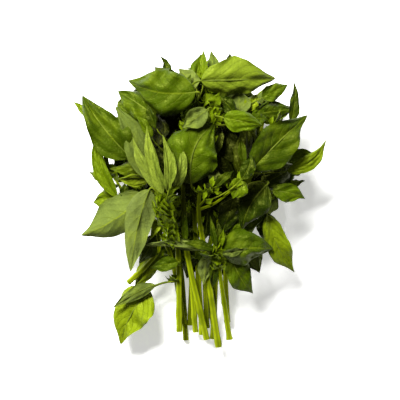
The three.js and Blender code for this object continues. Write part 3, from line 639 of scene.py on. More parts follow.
def shell_leaves():
    """Leaves set by the golden turn over the shells, one inside the other."""
    for s, (count, size, top, steepest, span) in enumerate(SHELLS):
        half = MASS_HALF * size
        for i in range(count):
            n = SHELL_FIRST * (s + 1) + i
            along = 1 - (2 * (i + 0.5)) / count
            ring = math.sqrt(1 - along * along)
            turn = i * GOLDEN_TURN
            up = ring * math.sin(turn)
            height = top if up > 0 else half[2]
            middle = MASS_CENTRE + [half[0] * ring * math.cos(turn), half[1] * along, height * up]
            out = outward(middle)
            if middle[1] < FOOT_BARE or out[2] > steepest:
                continue
            way = middle - NECK
            way = unit(way - out * dot(way, out))
            way = turned_about(way, out, math.radians(SHELL_YAW * (draw(n, 1) - 0.5)))
            way = unit(way + out * 0.5 * (draw(n, 2) - 0.4))
            length = mix(span, draw(n, 3))
            leaf = dict(base=middle - way * length / 2, tip=middle + way * length / 2)
            leaf.update(wide=length * mix(SHELL_SLIM, draw(n, 4)), face=out, n=n, start=None)
            leaf.update(arch=length * mix((0.03, 0.12), draw(n, 5)))
            leaf.update(roll=50 * (draw(n, 6) - 0.5) + (180 if draw(n, 7) < 0.2 else 0))
            leaf.update(fold=mix((-10, 22), draw(n, 8)), curl=mix((-38, -6), draw(n, 9)))
            leaf.update(twist=40 * (draw(n, 10) - 0.5), sweep=length * 0.08 * (draw(n, 11) - 0.5))
            yield leaf, ways_of([0, -5, -10], [0, 16, -16], [0, 18, -18], 2)


def node_trees():
    """For every CAD node, a search tree of its corners."""
    trees = {}
    for name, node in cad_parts.items():
        tree = kdtree.KDTree(len(node.data.vertices))
        for i, vertex in enumerate(node.data.vertices):
            tree.insert(vertex.co, i)
        tree.balance()
        trees[name] = tree
    return trees


def owner_of(corners, trees):
    """The node that has a corner at each of these places, if there is one."""
    for name, tree in trees.items():
        if all(tree.find(corner)[2] < CORNER_GAP * MM for corner in corners):
            return name
    return None


def grown_leaves(all_plants):
    """Every leaf of the part, by plant, in the way in which its plate's tip stands there."""
    trees = node_trees()
    places = perches(all_plants)
    found = {plant["name"]: [] for plant in all_plants}
    for leaf, ways in itertools.chain(placed_leaves(), tip_leaves(all_plants), shell_leaves()):
        for way in ways:
            tried = turned(leaf, way)
            tip, _, _, off = rib_frames(tried, 1.0)
            corners = [tip + off * BLADE_THICK / 2, tip - off * BLADE_THICK / 2]
            sunk = max(0.0, -min(corner[2] for corner in corners)) * UP
            owner = owner_of([(corner + sunk + SHIFT) * MM for corner in corners], trees)
            if owner:
                start = tried["start"]
                near, lean = (tried["base"], STALK_LEAN) if start is None else (start, 0)
                tried["root"], tried["stem_way"] = root_on(places, near, way[3], lean)
                found[owner].append(tried)
                break
    return found


# Mesh code


def linked(name, data):
    """A new object in the scene that shows these data."""
    made = bpy.data.objects.new(name, data)
    bpy.context.scene.collection.objects.link(made)
    return made


class Shape:
    """Points in millimetres and faces, gathered for one mesh, with a few values per point."""

    def __init__(self):
        self.points, self.faces, self.slots, self.uvs, self.tones = [], [], [], [], []
        self.count = 0

    def add(self, points, faces, slots, uvs, tone, pale=0.0, shade=0.0):
        self.points.append(points)
        self.faces.extend([[i + self.count for i in face] for face in faces])
        self.slots.extend(slots)
        self.uvs.append(uvs)
        self.tones.append(np.full((3, len(points)), [[tone], [pale], [shade]]))
        self.count += len(points)

    def object(self, name, materials):
        mesh = bpy.data.meshes.new(name)
        points = np.concatenate(self.points)
        mesh.from_pydata(((points + SHIFT) * MM).tolist(), [], self.faces)
        for material in materials:
            mesh.materials.append(material)
        mesh.polygons.foreach_set("material_index", self.slots)
        mesh.polygons.foreach_set("use_smooth", [True] * len(mesh.polygons))
        corners = np.empty(len(mesh.loops), int)
        mesh.loops.foreach_get("vertex_index", corners)
        uvs = np.concatenate(self.uvs)[corners]
        mesh.uv_layers.new(name="leaf").data.foreach_set("uv", uvs.ravel())
        tone, pale, shade = np.concatenate(self.tones, axis=1)
        # deep holds the share of painted shade on each point
        values = {"tone": tone, "pale": pale, "deep": np.maximum(painted_shade_of(points), shade)}
        for key, numbers in values.items():
            mesh.attributes.new(key, "FLOAT", "POINT").data.foreach_set("value", numbers)
        mesh.set_sharp_from_angle(angle=math.radians(LEAF_SHARP))
        mesh.update()
        return linked(name, mesh)


def blade_faces(rows, columns):
    """Faces of a blade's upper side, of its lower side and of the thin wall between them."""
    wide = columns + 1
    count = (rows + 1) * wide
    top = []
    for i in range(rows):
        for j in range(columns):
            a = i * wide + j
            top.append([a, a + 1, a + wide + 1, a + wide])
    low = [[i + count for i in quad[::-1]] for quad in top]
    left = [i * wide for i in range(rows + 1)]
    right = [i * wide + columns for i in range(rows, -1, -1)]
    tip = [rows * wide + j for j in range(1, columns)]
    foot = [j for j in range(columns - 1, 0, -1)]
    ring = left + tip + right + foot
    rim = [[a, b, count + b, count + a] for a, b in zip(ring, ring[1:] + ring[:1])]
    return top, low, rim


def wave(turns):
    """A wave that comes round once for every turn."""
    return np.sin(2 * np.pi * turns)


def half_widths(leaf, u, s, side, phase):
    """Half width at every point, drawn in to the tip, scalloped at the veins and uneven."""
    n = leaf["n"]
    taper = ((u - TAPER_START) / (1 - TAPER_START)).clip(0, 1)
    drawn = 1 - mix(TAPER, draw(n, 26)) * np.sin(np.pi / 2 * taper) ** 2
    least = BASE_WIDE * (1 - u) + TIP_WIDE
    half = np.maximum(leaf["wide"] / 2 * outline(u) * drawn, least)[:, None]
    half = half * (1 + SCALLOP * s**4 * np.cos(2 * np.pi * phase))
    for k, side_is in enumerate((-1, 1)):
        swell = wave((0.9 + 0.8 * draw(n, 42 + k)) * u + draw(n, 44 + k))[:, None]
        half = half * (1 + (side == side_is) * SWELL * swell)
    return half


def relief(leaf, settings, u, s, side, phase, half):
    """Height of the puckers, waves and folds over a blade's smooth surface, in millimetres."""
    n, along, across = leaf["n"], u[:, None], side * s
    size = min(1.0, leaf["wide"] / FULL_WIDE)
    ends = np.sin(np.pi * along).clip(0) ** 0.7
    quilt = np.abs(np.sin(np.pi * phase)) ** 0.8 * (1 - (2 * s - 1) ** 4)
    strength = settings.pucker / MM * size * np.sin(np.pi * along**0.8).clip(0) ** 0.6
    high = strength * (quilt - 0.3)
    high = high - GROOVE_DEEP * size * np.exp(-((s * half / GROOVE_WIDE) ** 2)) * (1 - along)
    for k, side_is in enumerate((-1, 1)):
        turns = 1.6 + 1.6 * draw(n, 20 + k)
        tall = settings.wave / MM * size * (0.6 + 0.8 * draw(n, 24 + k))
        high = high + (side == side_is) * tall * s**2 * wave(turns * along + draw(n, 22 + k)) * ends
    for k in range(3):
        turn = 2 * np.pi * draw(n, 31 + k)
        waves = (0.7 + 0.9 * k) * (np.cos(turn) * along * 1.4 + np.sin(turn) * across * 0.8)
        crease = wave(waves + draw(n, 35 + k)) * ends * (0.35 + 0.65 * s) / (1 + 0.7 * k)
        high = high + settings.crumple / MM * size * crease
    ripple = wave(0.55 * across + 1.9 * along + draw(n, 38))
    ripple = ripple * np.sin(np.pi * (0.9 * across - 2.3 * along + draw(n, 39)))
    ripple = ripple * (1 - np.exp(-((s * half / RIPPLE_CLEAR) ** 2))) * ends
    return high + leaf["ruffle"] * settings.ruffle / MM * min(1.0, leaf["wide"] / RIPPLED_WIDE) * ripple


def blade_points(leaf, settings, rows, columns):
    """The blade's middle surface, its off-face directions and the map of its points."""
    u = np.linspace(0, 1, rows + 1)
    v = np.linspace(-1, 1, columns + 1)
    centre, _, right, off = rib_frames(leaf, u)
    length = np.linalg.norm(leaf["tip"] - leaf["base"])
    s, side = np.abs(v)[None, :], np.sign(v)[None, :]
    slant = settings.slant * min(1.0, 2.0 * leaf["wide"] / length)
    phase = settings.pairs * (u[:, None] - slant * s**VEIN_BOW)
    half = half_widths(leaf, u, s, side, phase)
    fold = math.radians(leaf["fold"])
    curl = math.radians(leaf["curl"]) or 1e-6
    out = half * (np.sin(fold + curl * s) - math.sin(fold)) / curl
    lift = half * (math.cos(fold) - np.cos(fold + curl * s)) / curl
    lift = lift + relief(leaf, settings, u, s, side, phase, half)
    droop = length * 0.03 * (draw(leaf["n"], 27) - 0.3) * (u[:, None] ** 3)
    points = centre[:, None] + right[:, None] * (side * out)[..., None]
    points = points + off[:, None] * (lift - droop)[..., None]
    # the map leans so that the veins of a narrow blade don't run along it
    leant = u[:, None] + (settings.slant - slant) * s**VEIN_BOW
    uv = np.stack(np.broadcast_arrays(leant, (v[None, :] + 1) / 2), -1).reshape(-1, 2)
    return points, off, uv


def add_blade(shape, leaf, settings):
    """The blade, thinner to its margin and never under the table."""
    large = np.linalg.norm(leaf["tip"] - leaf["base"]) >= LARGE_LEAF
    rows, columns = LARGE_GRID if large else SMALL_GRID
    points, off, uv = blade_points(leaf, settings, rows, columns)
    thin = 1 - EDGE_THIN * np.linspace(-1, 1, columns + 1) ** 2
    half = off[:, None] * (settings.thickness / MM / 2 * thin)[None, :, None]
    over = (points + half).reshape(-1, 3)
    under = (points - half).reshape(-1, 3)
    over[:, 2] = over[:, 2].clip(LEAST_OVER)
    under[:, 2] = under[:, 2].clip(LEAST_UNDER)
    top, low, rim = blade_faces(rows, columns)
    slots = [0] * len(top) + [1] * len(low) + [0] * len(rim)
    uvs, points = np.concatenate([uv, uv]), np.concatenate([over, under])
    shape.add(points, top + low + rim, slots, uvs, leaf["tone"], leaf["pale"], leaf["shade"])


def add_stalk(shape, leaf):
    """The stalk from the stem to the blade, running on as the raised rib under it."""
    centre, ahead, right, off = rib_frames(leaf, np.linspace(0, RIB_END, RIB_RINGS))
    reach = np.linalg.norm(centre[0] - leaf["root"])
    bend = centre[0] - ahead[0] * 0.4 * reach
    t = np.linspace(0, 1, STALK_RINGS + 1)[:-1]
    stalk = bezier(leaf["root"], bend, centre[0], t)
    way = unit(bezier(leaf["root"], bend, centre[0], t + 1e-3) - stalk)
    rights = np.concatenate([carried(right[0], ahead[0], way), right])
    offs = np.concatenate([carried(off[0], ahead[0], way), off])
    size = min(1.0, max(0.55, leaf["wide"] / 30))
    sunk = 0.25 + 0.25 * size * np.linspace(1, 0, RIB_RINGS)
    middle = np.concatenate([stalk, centre]) - offs * np.concatenate([np.zeros(STALK_RINGS), sunk])[:, None]
    stalk_radius = np.linspace(ROOT_WIDE, STALK_WIDE, STALK_RINGS) / 2
    radius = np.concatenate([stalk_radius, np.linspace(*RIB_RADIUS, RIB_RINGS)]) * size
    turn = 2 * np.pi * np.arange(STALK_SIDES) / STALK_SIDES
    high = np.sin(turn) * np.where(np.sin(turn) > 0, 0.55, 1.0)
    rings = middle[:, None] + (rights * radius[:, None])[:, None] * np.cos(turn)[None, :, None]
    rings = rings + (offs * radius[:, None])[:, None] * high[None, :, None]
    points = rings.reshape(-1, 3)
    points[:, 2] = points[:, 2].clip(LEAST_UNDER)
    faces = []
    for i in range(len(middle) - 1):
        for k in range(STALK_SIDES):
            a, b = i * STALK_SIDES + k, i * STALK_SIDES + (k + 1) % STALK_SIDES
            faces.append([a, a + STALK_SIDES, b + STALK_SIDES, b])
    faces.append(list(range(STALK_SIDES)))
    faces.append([len(points) - 1 - k for k in range(STALK_SIDES)])
    share = np.repeat(np.linspace(0, 1, len(middle)), STALK_SIDES)
    around = np.tile(np.arange(STALK_SIDES) / STALK_SIDES, len(middle))
    shape.add(points, faces, [2] * len(faces), np.stack([share, around], -1), leaf["tone"])


# Shader node groups


def group_shell(name, inputs, outputs):
    """An empty group with its wiring, its inputs' sockets and the sockets to be filled."""
    group = bpy.data.node_groups.new(name, "ShaderNodeTree")
    for label, default in inputs.items():
        socket = group.interface.new_socket(name=label, in_out="INPUT", socket_type="NodeSocketFloat")
        socket.default_value = default
    for label in outputs:
        group.interface.new_socket(name=label, in_out="OUTPUT", socket_type="NodeSocketFloat")
    w = Wiring(group)
    return w, w.node("NodeGroupInput").outputs, w.node("NodeGroupOutput").inputs


class Wiring:
    """Short calls for the nodes of one tree."""

    def __init__(self, tree):
        self.tree = tree

    def node(self, kind, feeds=None, **values):
        """A node with its values set, and its inputs fed from sockets or given numbers."""
        made = self.tree.nodes.new(kind)
        for key, value in values.items():
            setattr(made, key, value)
        for key, value in (feeds or {}).items():
            self.put(made.inputs[key], value)
        return made

    def put(self, socket, value):
        if isinstance(value, bpy.types.NodeSocket):
            self.tree.links.new(value, socket)
        else:
            socket.default_value = value

    def math(self, operation, *values):
        return self.node("ShaderNodeMath", dict(enumerate(values)), operation=operation).outputs[0]

    def times(self, first, second):
        return self.math("MULTIPLY", first, second)

    def plus(self, first, second):
        return self.math("ADD", first, second)

    def stored(self, name):
        """A value stored on the mesh's points."""
        return self.node("ShaderNodeAttribute", attribute_name=name).outputs["Fac"]

    def object_place(self):
        return self.node("ShaderNodeTexCoord").outputs["Object"]

    def ramp(self, value, low, high, start=0.0, end=1.0):
        """value from low to high made smoothly start to end."""
        feeds = dict(enumerate((value, low, high, start, end)))
        return self.node("ShaderNodeMapRange", feeds, interpolation_type="SMOOTHSTEP").outputs[0]

    def mix(self, share, first, second):
        made = self.node("ShaderNodeMix", {"Factor": share}, data_type="RGBA")
        colours = [socket for socket in made.inputs if socket.type == "RGBA"]
        self.put(colours[0], first)
        self.put(colours[1], second)
        return next(socket for socket in made.outputs if socket.type == "RGBA")

    def coat(self, colour, mask, low, high, strength, over):
        """A colour with another laid over it, up to strength as the mask goes from low to high."""
        return self.mix(self.ramp(mask, low, high, 0.0, strength), colour, over)


def vein_group():
    """Masks of the veins over a blade's own map, at the places where the mesh is creased."""
    inputs = {"Pairs": 6.0, "Slant": 0.44, "Width": 0.055, "Net scale": 420.0}
    w, given, result = group_shell("leaf_veins", inputs, ["Rib", "Veins", "Net", "Bulge"])
    uv = w.node("ShaderNodeUVMap", uv_map="leaf")
    along, side, _ = w.node("ShaderNodeSeparateXYZ", {0: uv.outputs[0]}).outputs
    across = w.math("ABSOLUTE", w.math("SUBTRACT", w.times(side, 2.0), 1.0))
    climb = w.times(w.math("POWER", across, VEIN_BOW), given["Slant"])
    phase = w.times(w.math("SUBTRACT", along, climb), given["Pairs"])
    near = w.math("ABSOLUTE", w.math("SUBTRACT", w.math("FRACT", phase), 0.5))
    width = w.times(given["Width"], w.math("SUBTRACT", 1.15, across))
    feeds = {"Vector": w.object_place(), "Scale": given["Net scale"]}
    cells = w.node("ShaderNodeTexVoronoi", feeds, feature="DISTANCE_TO_EDGE")
    w.put(result["Rib"], w.ramp(across, 0.015, 0.055, 1.0, 0.0))
    w.put(result["Veins"], w.ramp(near, w.math("SUBTRACT", 0.5, width), 0.5))
    w.put(result["Net"], w.ramp(cells.outputs["Distance"], 0.0, 0.12, 1.0, 0.0))
    w.put(result["Bulge"], w.math("ABSOLUTE", w.math("SINE", w.times(phase, math.pi))))
    return w.tree


def mottle_group():
    """Soft patches and fine grain in the object's own space."""
    inputs = {"Patch scale": 40.0, "Grain scale": 900.0}
    w, given, result = group_shell("leaf_mottle", inputs, ["Patch", "Grain"])
    place = w.object_place()
    for label, detail in (("Patch", 3.0), ("Grain", 2.0)):
        feeds = {"Vector": place, "Detail": detail, "Scale": given[f"{label} scale"]}
        w.put(result[label], w.node("ShaderNodeTexNoise", feeds).outputs[0])
    return w.tree


def new_material(name):
    material = bpy.data.materials.new(name)
    material.use_nodes = True
    shader = material.node_tree.nodes["Principled BSDF"]
    return material, shader.inputs, Wiring(material.node_tree)


def veins_on(w, settings):
    group = bpy.data.node_groups.get("leaf_veins") or vein_group()
    feeds = {"Pairs": float(settings.pairs), "Slant": settings.slant}
    return w.node("ShaderNodeGroup", feeds, node_tree=group).outputs


def mottle_on(w, patch_scale, grain_scale=900.0):
    group = bpy.data.node_groups.get("leaf_mottle") or mottle_group()
    feeds = {"Patch scale": patch_scale, "Grain scale": grain_scale}
    made = w.node("ShaderNodeGroup", feeds, node_tree=group)
    return made.outputs["Patch"], made.outputs["Grain"]


def finish(w, shader, colour, painted_shade_green, strength, roughness, gloss, tint):
    """Sets a colour with painted shade towards the heart of the bunch and in the dark gap, its roughness and
    its gloss.
    """
    w.put(shader["Base Color"], w.coat(colour, w.stored("deep"), 0.0, 1.0, strength, painted_shade_green))
    w.put(shader["Roughness"], roughness)
    w.put(shader["Specular IOR Level"], gloss)
    w.put(shader["Specular Tint"], tint)


def bumped(w, shader, height, depth, strength):
    bump = w.node("ShaderNodeBump", {"Distance": depth, "Strength": strength, "Height": height})
    w.put(shader["Normal"], bump.outputs[0])


def blade_material(name, settings, face, young=0.0):
    """A blade's upper or lower face with its ribs and veins; young is the share of young green."""
    material, shader, w = new_material(name)
    veins = veins_on(w, settings)
    patch, grain = mottle_on(w, 75.0, 330.0)
    tone = w.stored("tone")
    if face is UPPER_FINISH:
        green = w.coat(settings.dark, tone, 0.15, 0.75, 1.0, settings.middle)
        green = w.coat(green, tone, 0.6, 1.0, 1.0, settings.bright)
        if young:
            green = w.mix(young, green, settings.young)
        green = w.coat(green, patch, 0.45, 0.75, 0.24, settings.bright)
        green = w.coat(green, grain, 0.52, 0.3, 0.22, settings.dark)
        # painted shade in the creases along the veins, where the puckers bulge least
        green = w.coat(green, veins["Bulge"], 0.8, 0.1, 0.12, settings.dark)
        # painted grey sheen: the upper face fades to the underside green
        green = w.mix(w.stored("pale"), green, settings.under)
    else:
        green = w.coat(settings.under, tone, 0.0, 1.0, 0.4, settings.middle)
        green = w.coat(green, patch, 0.4, 0.75, 0.3, settings.vein)
    ribs, lines = w.times(veins["Rib"], face["rib"]), w.times(veins["Veins"], face["veins"])
    green = w.mix(w.math("MAXIMUM", ribs, lines), green, settings.vein)
    raised, net = w.times(veins["Veins"], face["vein_high"]), w.times(veins["Net"], face["net_high"])
    height = w.plus(w.plus(raised, net), w.times(grain, 1.1))
    roughness = w.ramp(patch, 0.3, 0.7, *face["rough"])
    finish(w, shader, green, settings.painted_shade_green, 0.9, roughness, face["gloss"], LEAF_TINT)
    bumped(w, shader, height, 0.0005, 0.8)
    return material


def stalk_material(settings, stems):
    """The green of a leaf stalk, paler where it runs on as the rib."""
    material, shader, w = new_material("basil_stalk")
    patch, grain = mottle_on(w, 120.0)
    uv = w.node("ShaderNodeUVMap", uv_map="leaf")
    along = w.node("ShaderNodeSeparateXYZ", {0: uv.outputs[0]}).outputs[0]
    green = w.coat(stems.dull_and_shade_green, patch, 0.35, 0.7, 1.0, settings.vein)
    green = w.mix(w.ramp(along, 0.3, 0.5, 0.1, 0.45), green, settings.under)
    finish(w, shader, green, settings.painted_shade_green, 0.85, w.ramp(patch, 0.3, 0.7, 0.4, 0.54), 0.14, STEM_TINT)
    bumped(w, shader, grain, 0.0002, 0.4)
    return material


def stem_material(stems, leaves):
    """Green rind with lengthwise streaks, painted shade in the grooves and pale where it was cut"""
    material, shader, w = new_material("basil_stem")
    patch, grain = mottle_on(w, 60.0, 1400.0)
    stretch = w.node("ShaderNodeMapping", {"Vector": w.object_place(), "Scale": (1.0, 0.06, 1.0)})
    streak = w.node("ShaderNodeTexNoise", {"Vector": stretch.outputs[0], "Scale": 900.0}).outputs[0]
    # painted shade in the stem's grooves
    green = w.coat(stems.skin, w.stored("groove"), 0.15, 1.0, 0.8, stems.dull_and_shade_green)
    green = w.coat(green, streak, 0.42, 0.68, 0.4, stems.dull_and_shade_green)
    green = w.mix(w.ramp(w.stored("along"), 0.02, 0.35, 0.16, 0.0), green, stems.cut)
    green = w.coat(green, patch, 0.42, 0.7, 0.5, stems.dull_and_shade_green)
    green = w.coat(green, w.stored("cut"), 0.2, 0.9, 1.0, stems.cut)
    finish(w, shader, green, leaves.painted_shade_green, 0.85, w.ramp(streak, 0.3, 0.7, 0.3, 0.48), 0.16, STEM_TINT)
    bumped(w, shader, w.plus(w.times(streak, 0.8), w.times(grain, 0.3)), 0.0003, 0.5)
    return material


def floor_material(settings):
    """A pale, dull table that gives off a little light."""
    material, shader, w = new_material("pale_table")
    patch, _ = mottle_on(w, 6.0, 300.0)
    tint = [c * 0.985 for c in settings.floor[:3]] + [1.0]
    w.put(shader["Base Color"], w.mix(patch, settings.floor, tint))
    w.put(shader["Roughness"], 0.9)
    w.put(shader["Specular IOR Level"], 0.1)
    w.put(shader["Emission Color"], settings.floor)
    w.put(shader["Emission Strength"], settings.glow)
    return material


# Geometry node trees


def geometry_tree(name, inputs):
    tree = bpy.data.node_groups.new(name, "GeometryNodeTree")
    for label, kind in {"Geometry": "Geometry", **inputs}.items():
        tree.interface.new_socket(name=label, in_out="INPUT", socket_type="NodeSocket" + kind)
    tree.interface.new_socket(name="Geometry", in_out="OUTPUT", socket_type="NodeSocketGeometry")
    return tree, Wiring(tree), tree.nodes.new("NodeGroupInput").outputs


def named(w, attribute, kind="FLOAT"):
    return w.node("GeometryNodeInputNamedAttribute", {0: attribute}, data_type=kind).outputs[0]


def end_tree(w, geometry, material):
    """The end of a tree: its instances made real and given their material."""
    real = w.node("GeometryNodeRealizeInstances", {0: geometry})
    clad = w.node("GeometryNodeSetMaterial", {"Geometry": real.outputs[0], "Material": material})
    w.node("NodeGroupOutput", {0: clad.outputs[0]})


def stem_tree():
    """Skins a line of points with a grooved square section of the girth stored on them."""
    tree, w, given = geometry_tree("stem_skin", {"Sides": "Int", "Groove": "Float", "Material": "Material"})
    line = w.node("GeometryNodeMeshToCurve", {0: given["Geometry"]})
    level = w.node("GeometryNodeSetCurveNormal", {0: line.outputs[0]}, mode="Z_UP")
    ring = w.node("GeometryNodeCurvePrimitiveCircle", {"Resolution": given["Sides"], "Radius": 1.0})
    place = w.node("GeometryNodeInputPosition").outputs[0]
    x, y, _ = w.node("ShaderNodeSeparateXYZ", {0: place}).outputs
    face = w.math("MULTIPLY_ADD", w.math("COSINE", w.times(w.math("ARCTAN2", y, x), 4.0)), 0.5, 0.5)
    store = {"Name": "groove", "Geometry": ring.outputs["Curve"]}
    keep = w.node("GeometryNodeStoreNamedAttribute", store, data_type="FLOAT", domain="POINT")
    w.put(next(s for s in keep.inputs if s.name == "Value" and s.enabled), face)
    depth = w.math("SUBTRACT", 1.0, w.times(given["Groove"], named(w, "groove")))
    scaled = w.node("ShaderNodeVectorMath", {0: place, "Scale": depth}, operation="SCALE")
    moved = {"Geometry": keep.outputs["Geometry"], "Position": scaled.outputs[0]}
    shaped = w.node("GeometryNodeSetPosition", moved)
    swept = {"Curve": level.outputs[0], "Profile Curve": shaped.outputs[0], "Scale": named(w, "girth")}
    skin = w.node("GeometryNodeCurveToMesh", {**swept, "Fill Caps": True})
    smooth = w.node("GeometryNodeSetShadeSmooth", {"Geometry": skin.outputs[0]})
    end_tree(w, smooth.outputs[0], given["Material"])
    return tree


def bud_tree():
    """Sets a young pair of leaves on every point, turned the way stored there."""
    inputs = {"Bud": "Object", "Bud size": "Float", "Material": "Material"}
    tree, w, given = geometry_tree("bud_pairs", inputs)
    info = w.node("GeometryNodeObjectInfo", {"Object": given["Bud"]})
    aim = named(w, "aim", "FLOAT_VECTOR")
    setting = {
        "Points": given["Geometry"],
        "Instance": info.outputs["Geometry"],
        "Rotation": w.node("FunctionNodeAlignRotationToVector", {"Vector": aim}, axis="X").outputs[0],
        "Scale": w.times(given["Bud size"], named(w, "size")),
    }
    end_tree(w, w.node("GeometryNodeInstanceOnPoints", setting).outputs[0], given["Material"])
    return tree


def made_by(tree, source, name, values):
    """The plain mesh that a geometry node tree makes from the source object."""
    modifier = source.modifiers.new(tree.name, "NODES")
    modifier.node_group = tree
    for item in tree.interface.items_tree:
        if item.in_out == "INPUT" and item.name in values:
            modifier[item.identifier] = values[item.name]
    bpy.context.view_layer.update()
    depsgraph = bpy.context.evaluated_depsgraph_get()
    mesh = bpy.data.meshes.new_from_object(source.evaluated_get(depsgraph), depsgraph=depsgraph)
    source.modifiers.remove(modifier)
    mesh.name = name
    bpy.data.objects.remove(source)
    return linked(name, mesh)


def line_object(chains, values):
    """Chains of points in millimetres as one object of edges, with named values on them."""
    mesh = bpy.data.meshes.new("line")
    points, edges = [], []
    for chain in chains:
        start = len(points)
        points.extend(((np.asarray(chain) + SHIFT) * MM).tolist())
        edges.extend([[i, i + 1] for i in range(start, len(points) - 1)])
    mesh.from_pydata(points, edges, [])
    for key, numbers in values.items():
        numbers = np.asarray(numbers, float)
        kind, entry = ("FLOAT", "value") if numbers.ndim == 1 else ("FLOAT_VECTOR", "vector")
        layer = mesh.attributes.new(key, kind, "POINT")
        layer.data.foreach_set(entry, numbers.ravel())
    return linked("line", mesh)


def settle(piece, node):
    """Ties a finished piece to the node that it dresses."""
    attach(piece, "root")
    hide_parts(node)


# Operators

grown = {}


def all_grown():
    if not grown:
        grown.update(grown_leaves(plants()))
    return grown


class BASIL_OT_stems(bpy.types.Operator):
    """Skin every stem and side shoot with its grooved square rind"""

    bl_idname = "basil.stems"
    bl_label = "Grow stems"

    def execute(self, context):
        settings = context.scene.basil_stems
        material = stem_material(settings, context.scene.basil_leaves)
        tree = stem_tree()
        gap = settings.knot_gap / MM
        for plant in plants():
            chains, girth, along, cut = [], [], [], []
            for n, (path, thick, thin) in enumerate(plant["runs"]):
                length = run_length(run(path, 60))
                count = int(length / RING_GAP)
                t = np.concatenate([[0, CUT_EDGE / length], np.arange(1, count + 1) / count])
                chains.append([spline(path, x) for x in t])
                place = np.mod(t * length + gap * draw(len(plant["name"]) + n, 3), gap) - gap / 2
                knot = settings.knot * np.exp(-((place / KNOT_WIDE) ** 2))
                girth.extend(mix((thick, thin), t) * (1 + knot) * MM)
                along.extend(t if n == 0 else np.ones(len(t)))
                cut.extend([float(n == 0)] + [0.0] * (len(t) - 1))
            # painted shade on the stems, darker deeper inside the bunch
            deep = painted_shade_of(np.concatenate([np.array(chain) for chain in chains]))
            source = line_object(chains, {"girth": girth, "along": along, "cut": cut, "deep": deep})
            inputs = {"Sides": settings.sides, "Groove": settings.groove, "Material": material}
            piece = made_by(tree, source, plant["name"].replace("stem_", "stalks_"), inputs)
            piece.data.set_sharp_from_angle(angle=math.radians(STEM_SHARP))
            settle(piece, plant["name"])
        return {"FINISHED"}


class BASIL_OT_leaves(bpy.types.Operator):
    """Make every leaf again with veins, puckers and a waved margin"""

    bl_idname = "basil.leaves"
    bl_label = "Grow leaves"

    def execute(self, context):
        settings = context.scene.basil_leaves
        materials = [
            blade_material("basil_leaf_upper", settings, UPPER_FINISH),
            blade_material("basil_leaf_under", settings, UNDER_FINISH),
            stalk_material(settings, context.scene.basil_stems),
        ]
        if sum(len(leaves) for leaves in all_grown().values()) < FEWEST_LEAVES:
            raise RuntimeError(f"fewer than {FEWEST_LEAVES} leaves were found on the packed part")
        for name, leaves in all_grown().items():
            if not leaves:
                continue
            shape = Shape()
            for leaf in leaves:
                n = leaf["n"]
                leaf.update(tone=TONES.get(n, draw(n, 30)), pale=PAINTED_GREY_SHEEN.get(n, 0.0), shade=painted_gap_shade_of(leaf))
                leaf["ruffle"] = 1.0 if n in RUFFLED else 0.35 * draw(n, 46)
                add_blade(shape, leaf, settings)
                add_stalk(shape, leaf)
            settle(shape.object(name.replace("stem_", "leaves_"), materials), name)
        return {"FINISHED"}


class BASIL_OT_buds(bpy.types.Operator):
    """Set young pairs of leaves in the axils of the leaf stalks"""

    bl_idname = "basil.buds"
    bl_label = "Grow buds"

    def execute(self, context):
        settings = context.scene.basil_leaves
        material = blade_material("basil_bud", settings, UPPER_FINISH, YOUNG_SHARE)
        bud = bud_shape(settings)
        tree = bud_tree()
        inputs = {"Bud": bud, "Bud size": context.scene.basil_stems.bud_size, "Material": material}
        by_name = {plant["name"]: plant for plant in plants()}
        for name, leaves in all_grown().items():
            pairs = [axil_pair(leaf) for leaf in leaves if draw(leaf["n"], 40) >= BARE_AXILS]
            for n, cluster in enumerate(CLUSTERS):
                if cluster[0] == name:
                    pairs.extend(crowded_pairs(by_name[name], cluster, n))
            if not pairs:
                continue
            points, aims, sizes = zip(*pairs)
            source = line_object([[point] for point in points], {"aim": aims, "size": sizes})
            settle(made_by(tree, source, name.replace("stem_", "buds_"), inputs), name)
        bpy.data.objects.remove(bud)
        return {"FINISHED"}


def axil_pair(leaf):
    """Place, direction and size of the young pair in the axil of a leaf's stalk."""
    out = unit(leaf["base"] - leaf["root"] + 1e-6)
    aim = unit(leaf["stem_way"] * 0.8 + out)
    return leaf["root"] + aim * AXIL_GAP, aim, 0.7 + 0.6 * draw(leaf["n"], 41)


def crowded_pairs(plant, cluster, n):
    """Places, directions and sizes of crossed young pairs along a stretch of one stem."""
    _, run_is, start, end, count, *special = cluster
    hug, large = special or (1.0, 1.0)
    path, thick, thin = plant["runs"][run_is]
    for k in range(count):
        t = mix((start, end), (k + 0.5) / count)
        ahead = unit(spline(path, min(t + 0.01, 1)) - spline(path, t - 0.01))
        side = turned_about(unit(np.cross(UP, ahead)), ahead, 2.2 * k + draw(n, 50))
        place = spline(path, t) + side * mix((thick, thin), t) * 0.6
        aim = unit(ahead * (0.8 + 0.6 * draw(n, 60 + k)) * hug + side)
        yield place, aim, (0.7 + 0.7 * draw(n, 80 + k)) * large


def bud_shape(settings):
    """A folded pair of young leaves one unit long, pointing along +X."""
    shape = Shape()
    for k, side in enumerate((-1, 1)):
        base = np.array([0.0, side * 0.6, 0.0])
        tip = np.array([BUD_LONG, side * 3.2, 1.0 + k])
        leaf = dict(base=base, tip=tip, wide=6.4, arch=1.4, roll=-side * 30, fold=24, curl=-20)
        leaf.update(twist=0, sweep=0, face=UP, n=BUD_FIRST + k, ruffle=0.0)
        points, off, uv = blade_points(leaf, settings, *BUD_GRID)
        half = off[:, None] * BUD_THICK / 2
        over, under = (points + half).reshape(-1, 3), (points - half).reshape(-1, 3)
        faces = [face for part in blade_faces(*BUD_GRID) for face in part]
        shape.add(np.concatenate([over, under]), faces, [0] * len(faces), np.concatenate([uv, uv]), 0.9)
    piece = shape.object("bud", [])
    piece.data.transform(Matrix.Scale(1 / BUD_LONG / MM, 4) @ Matrix.Translation((-SHIFT * MM).tolist()))
    return piece


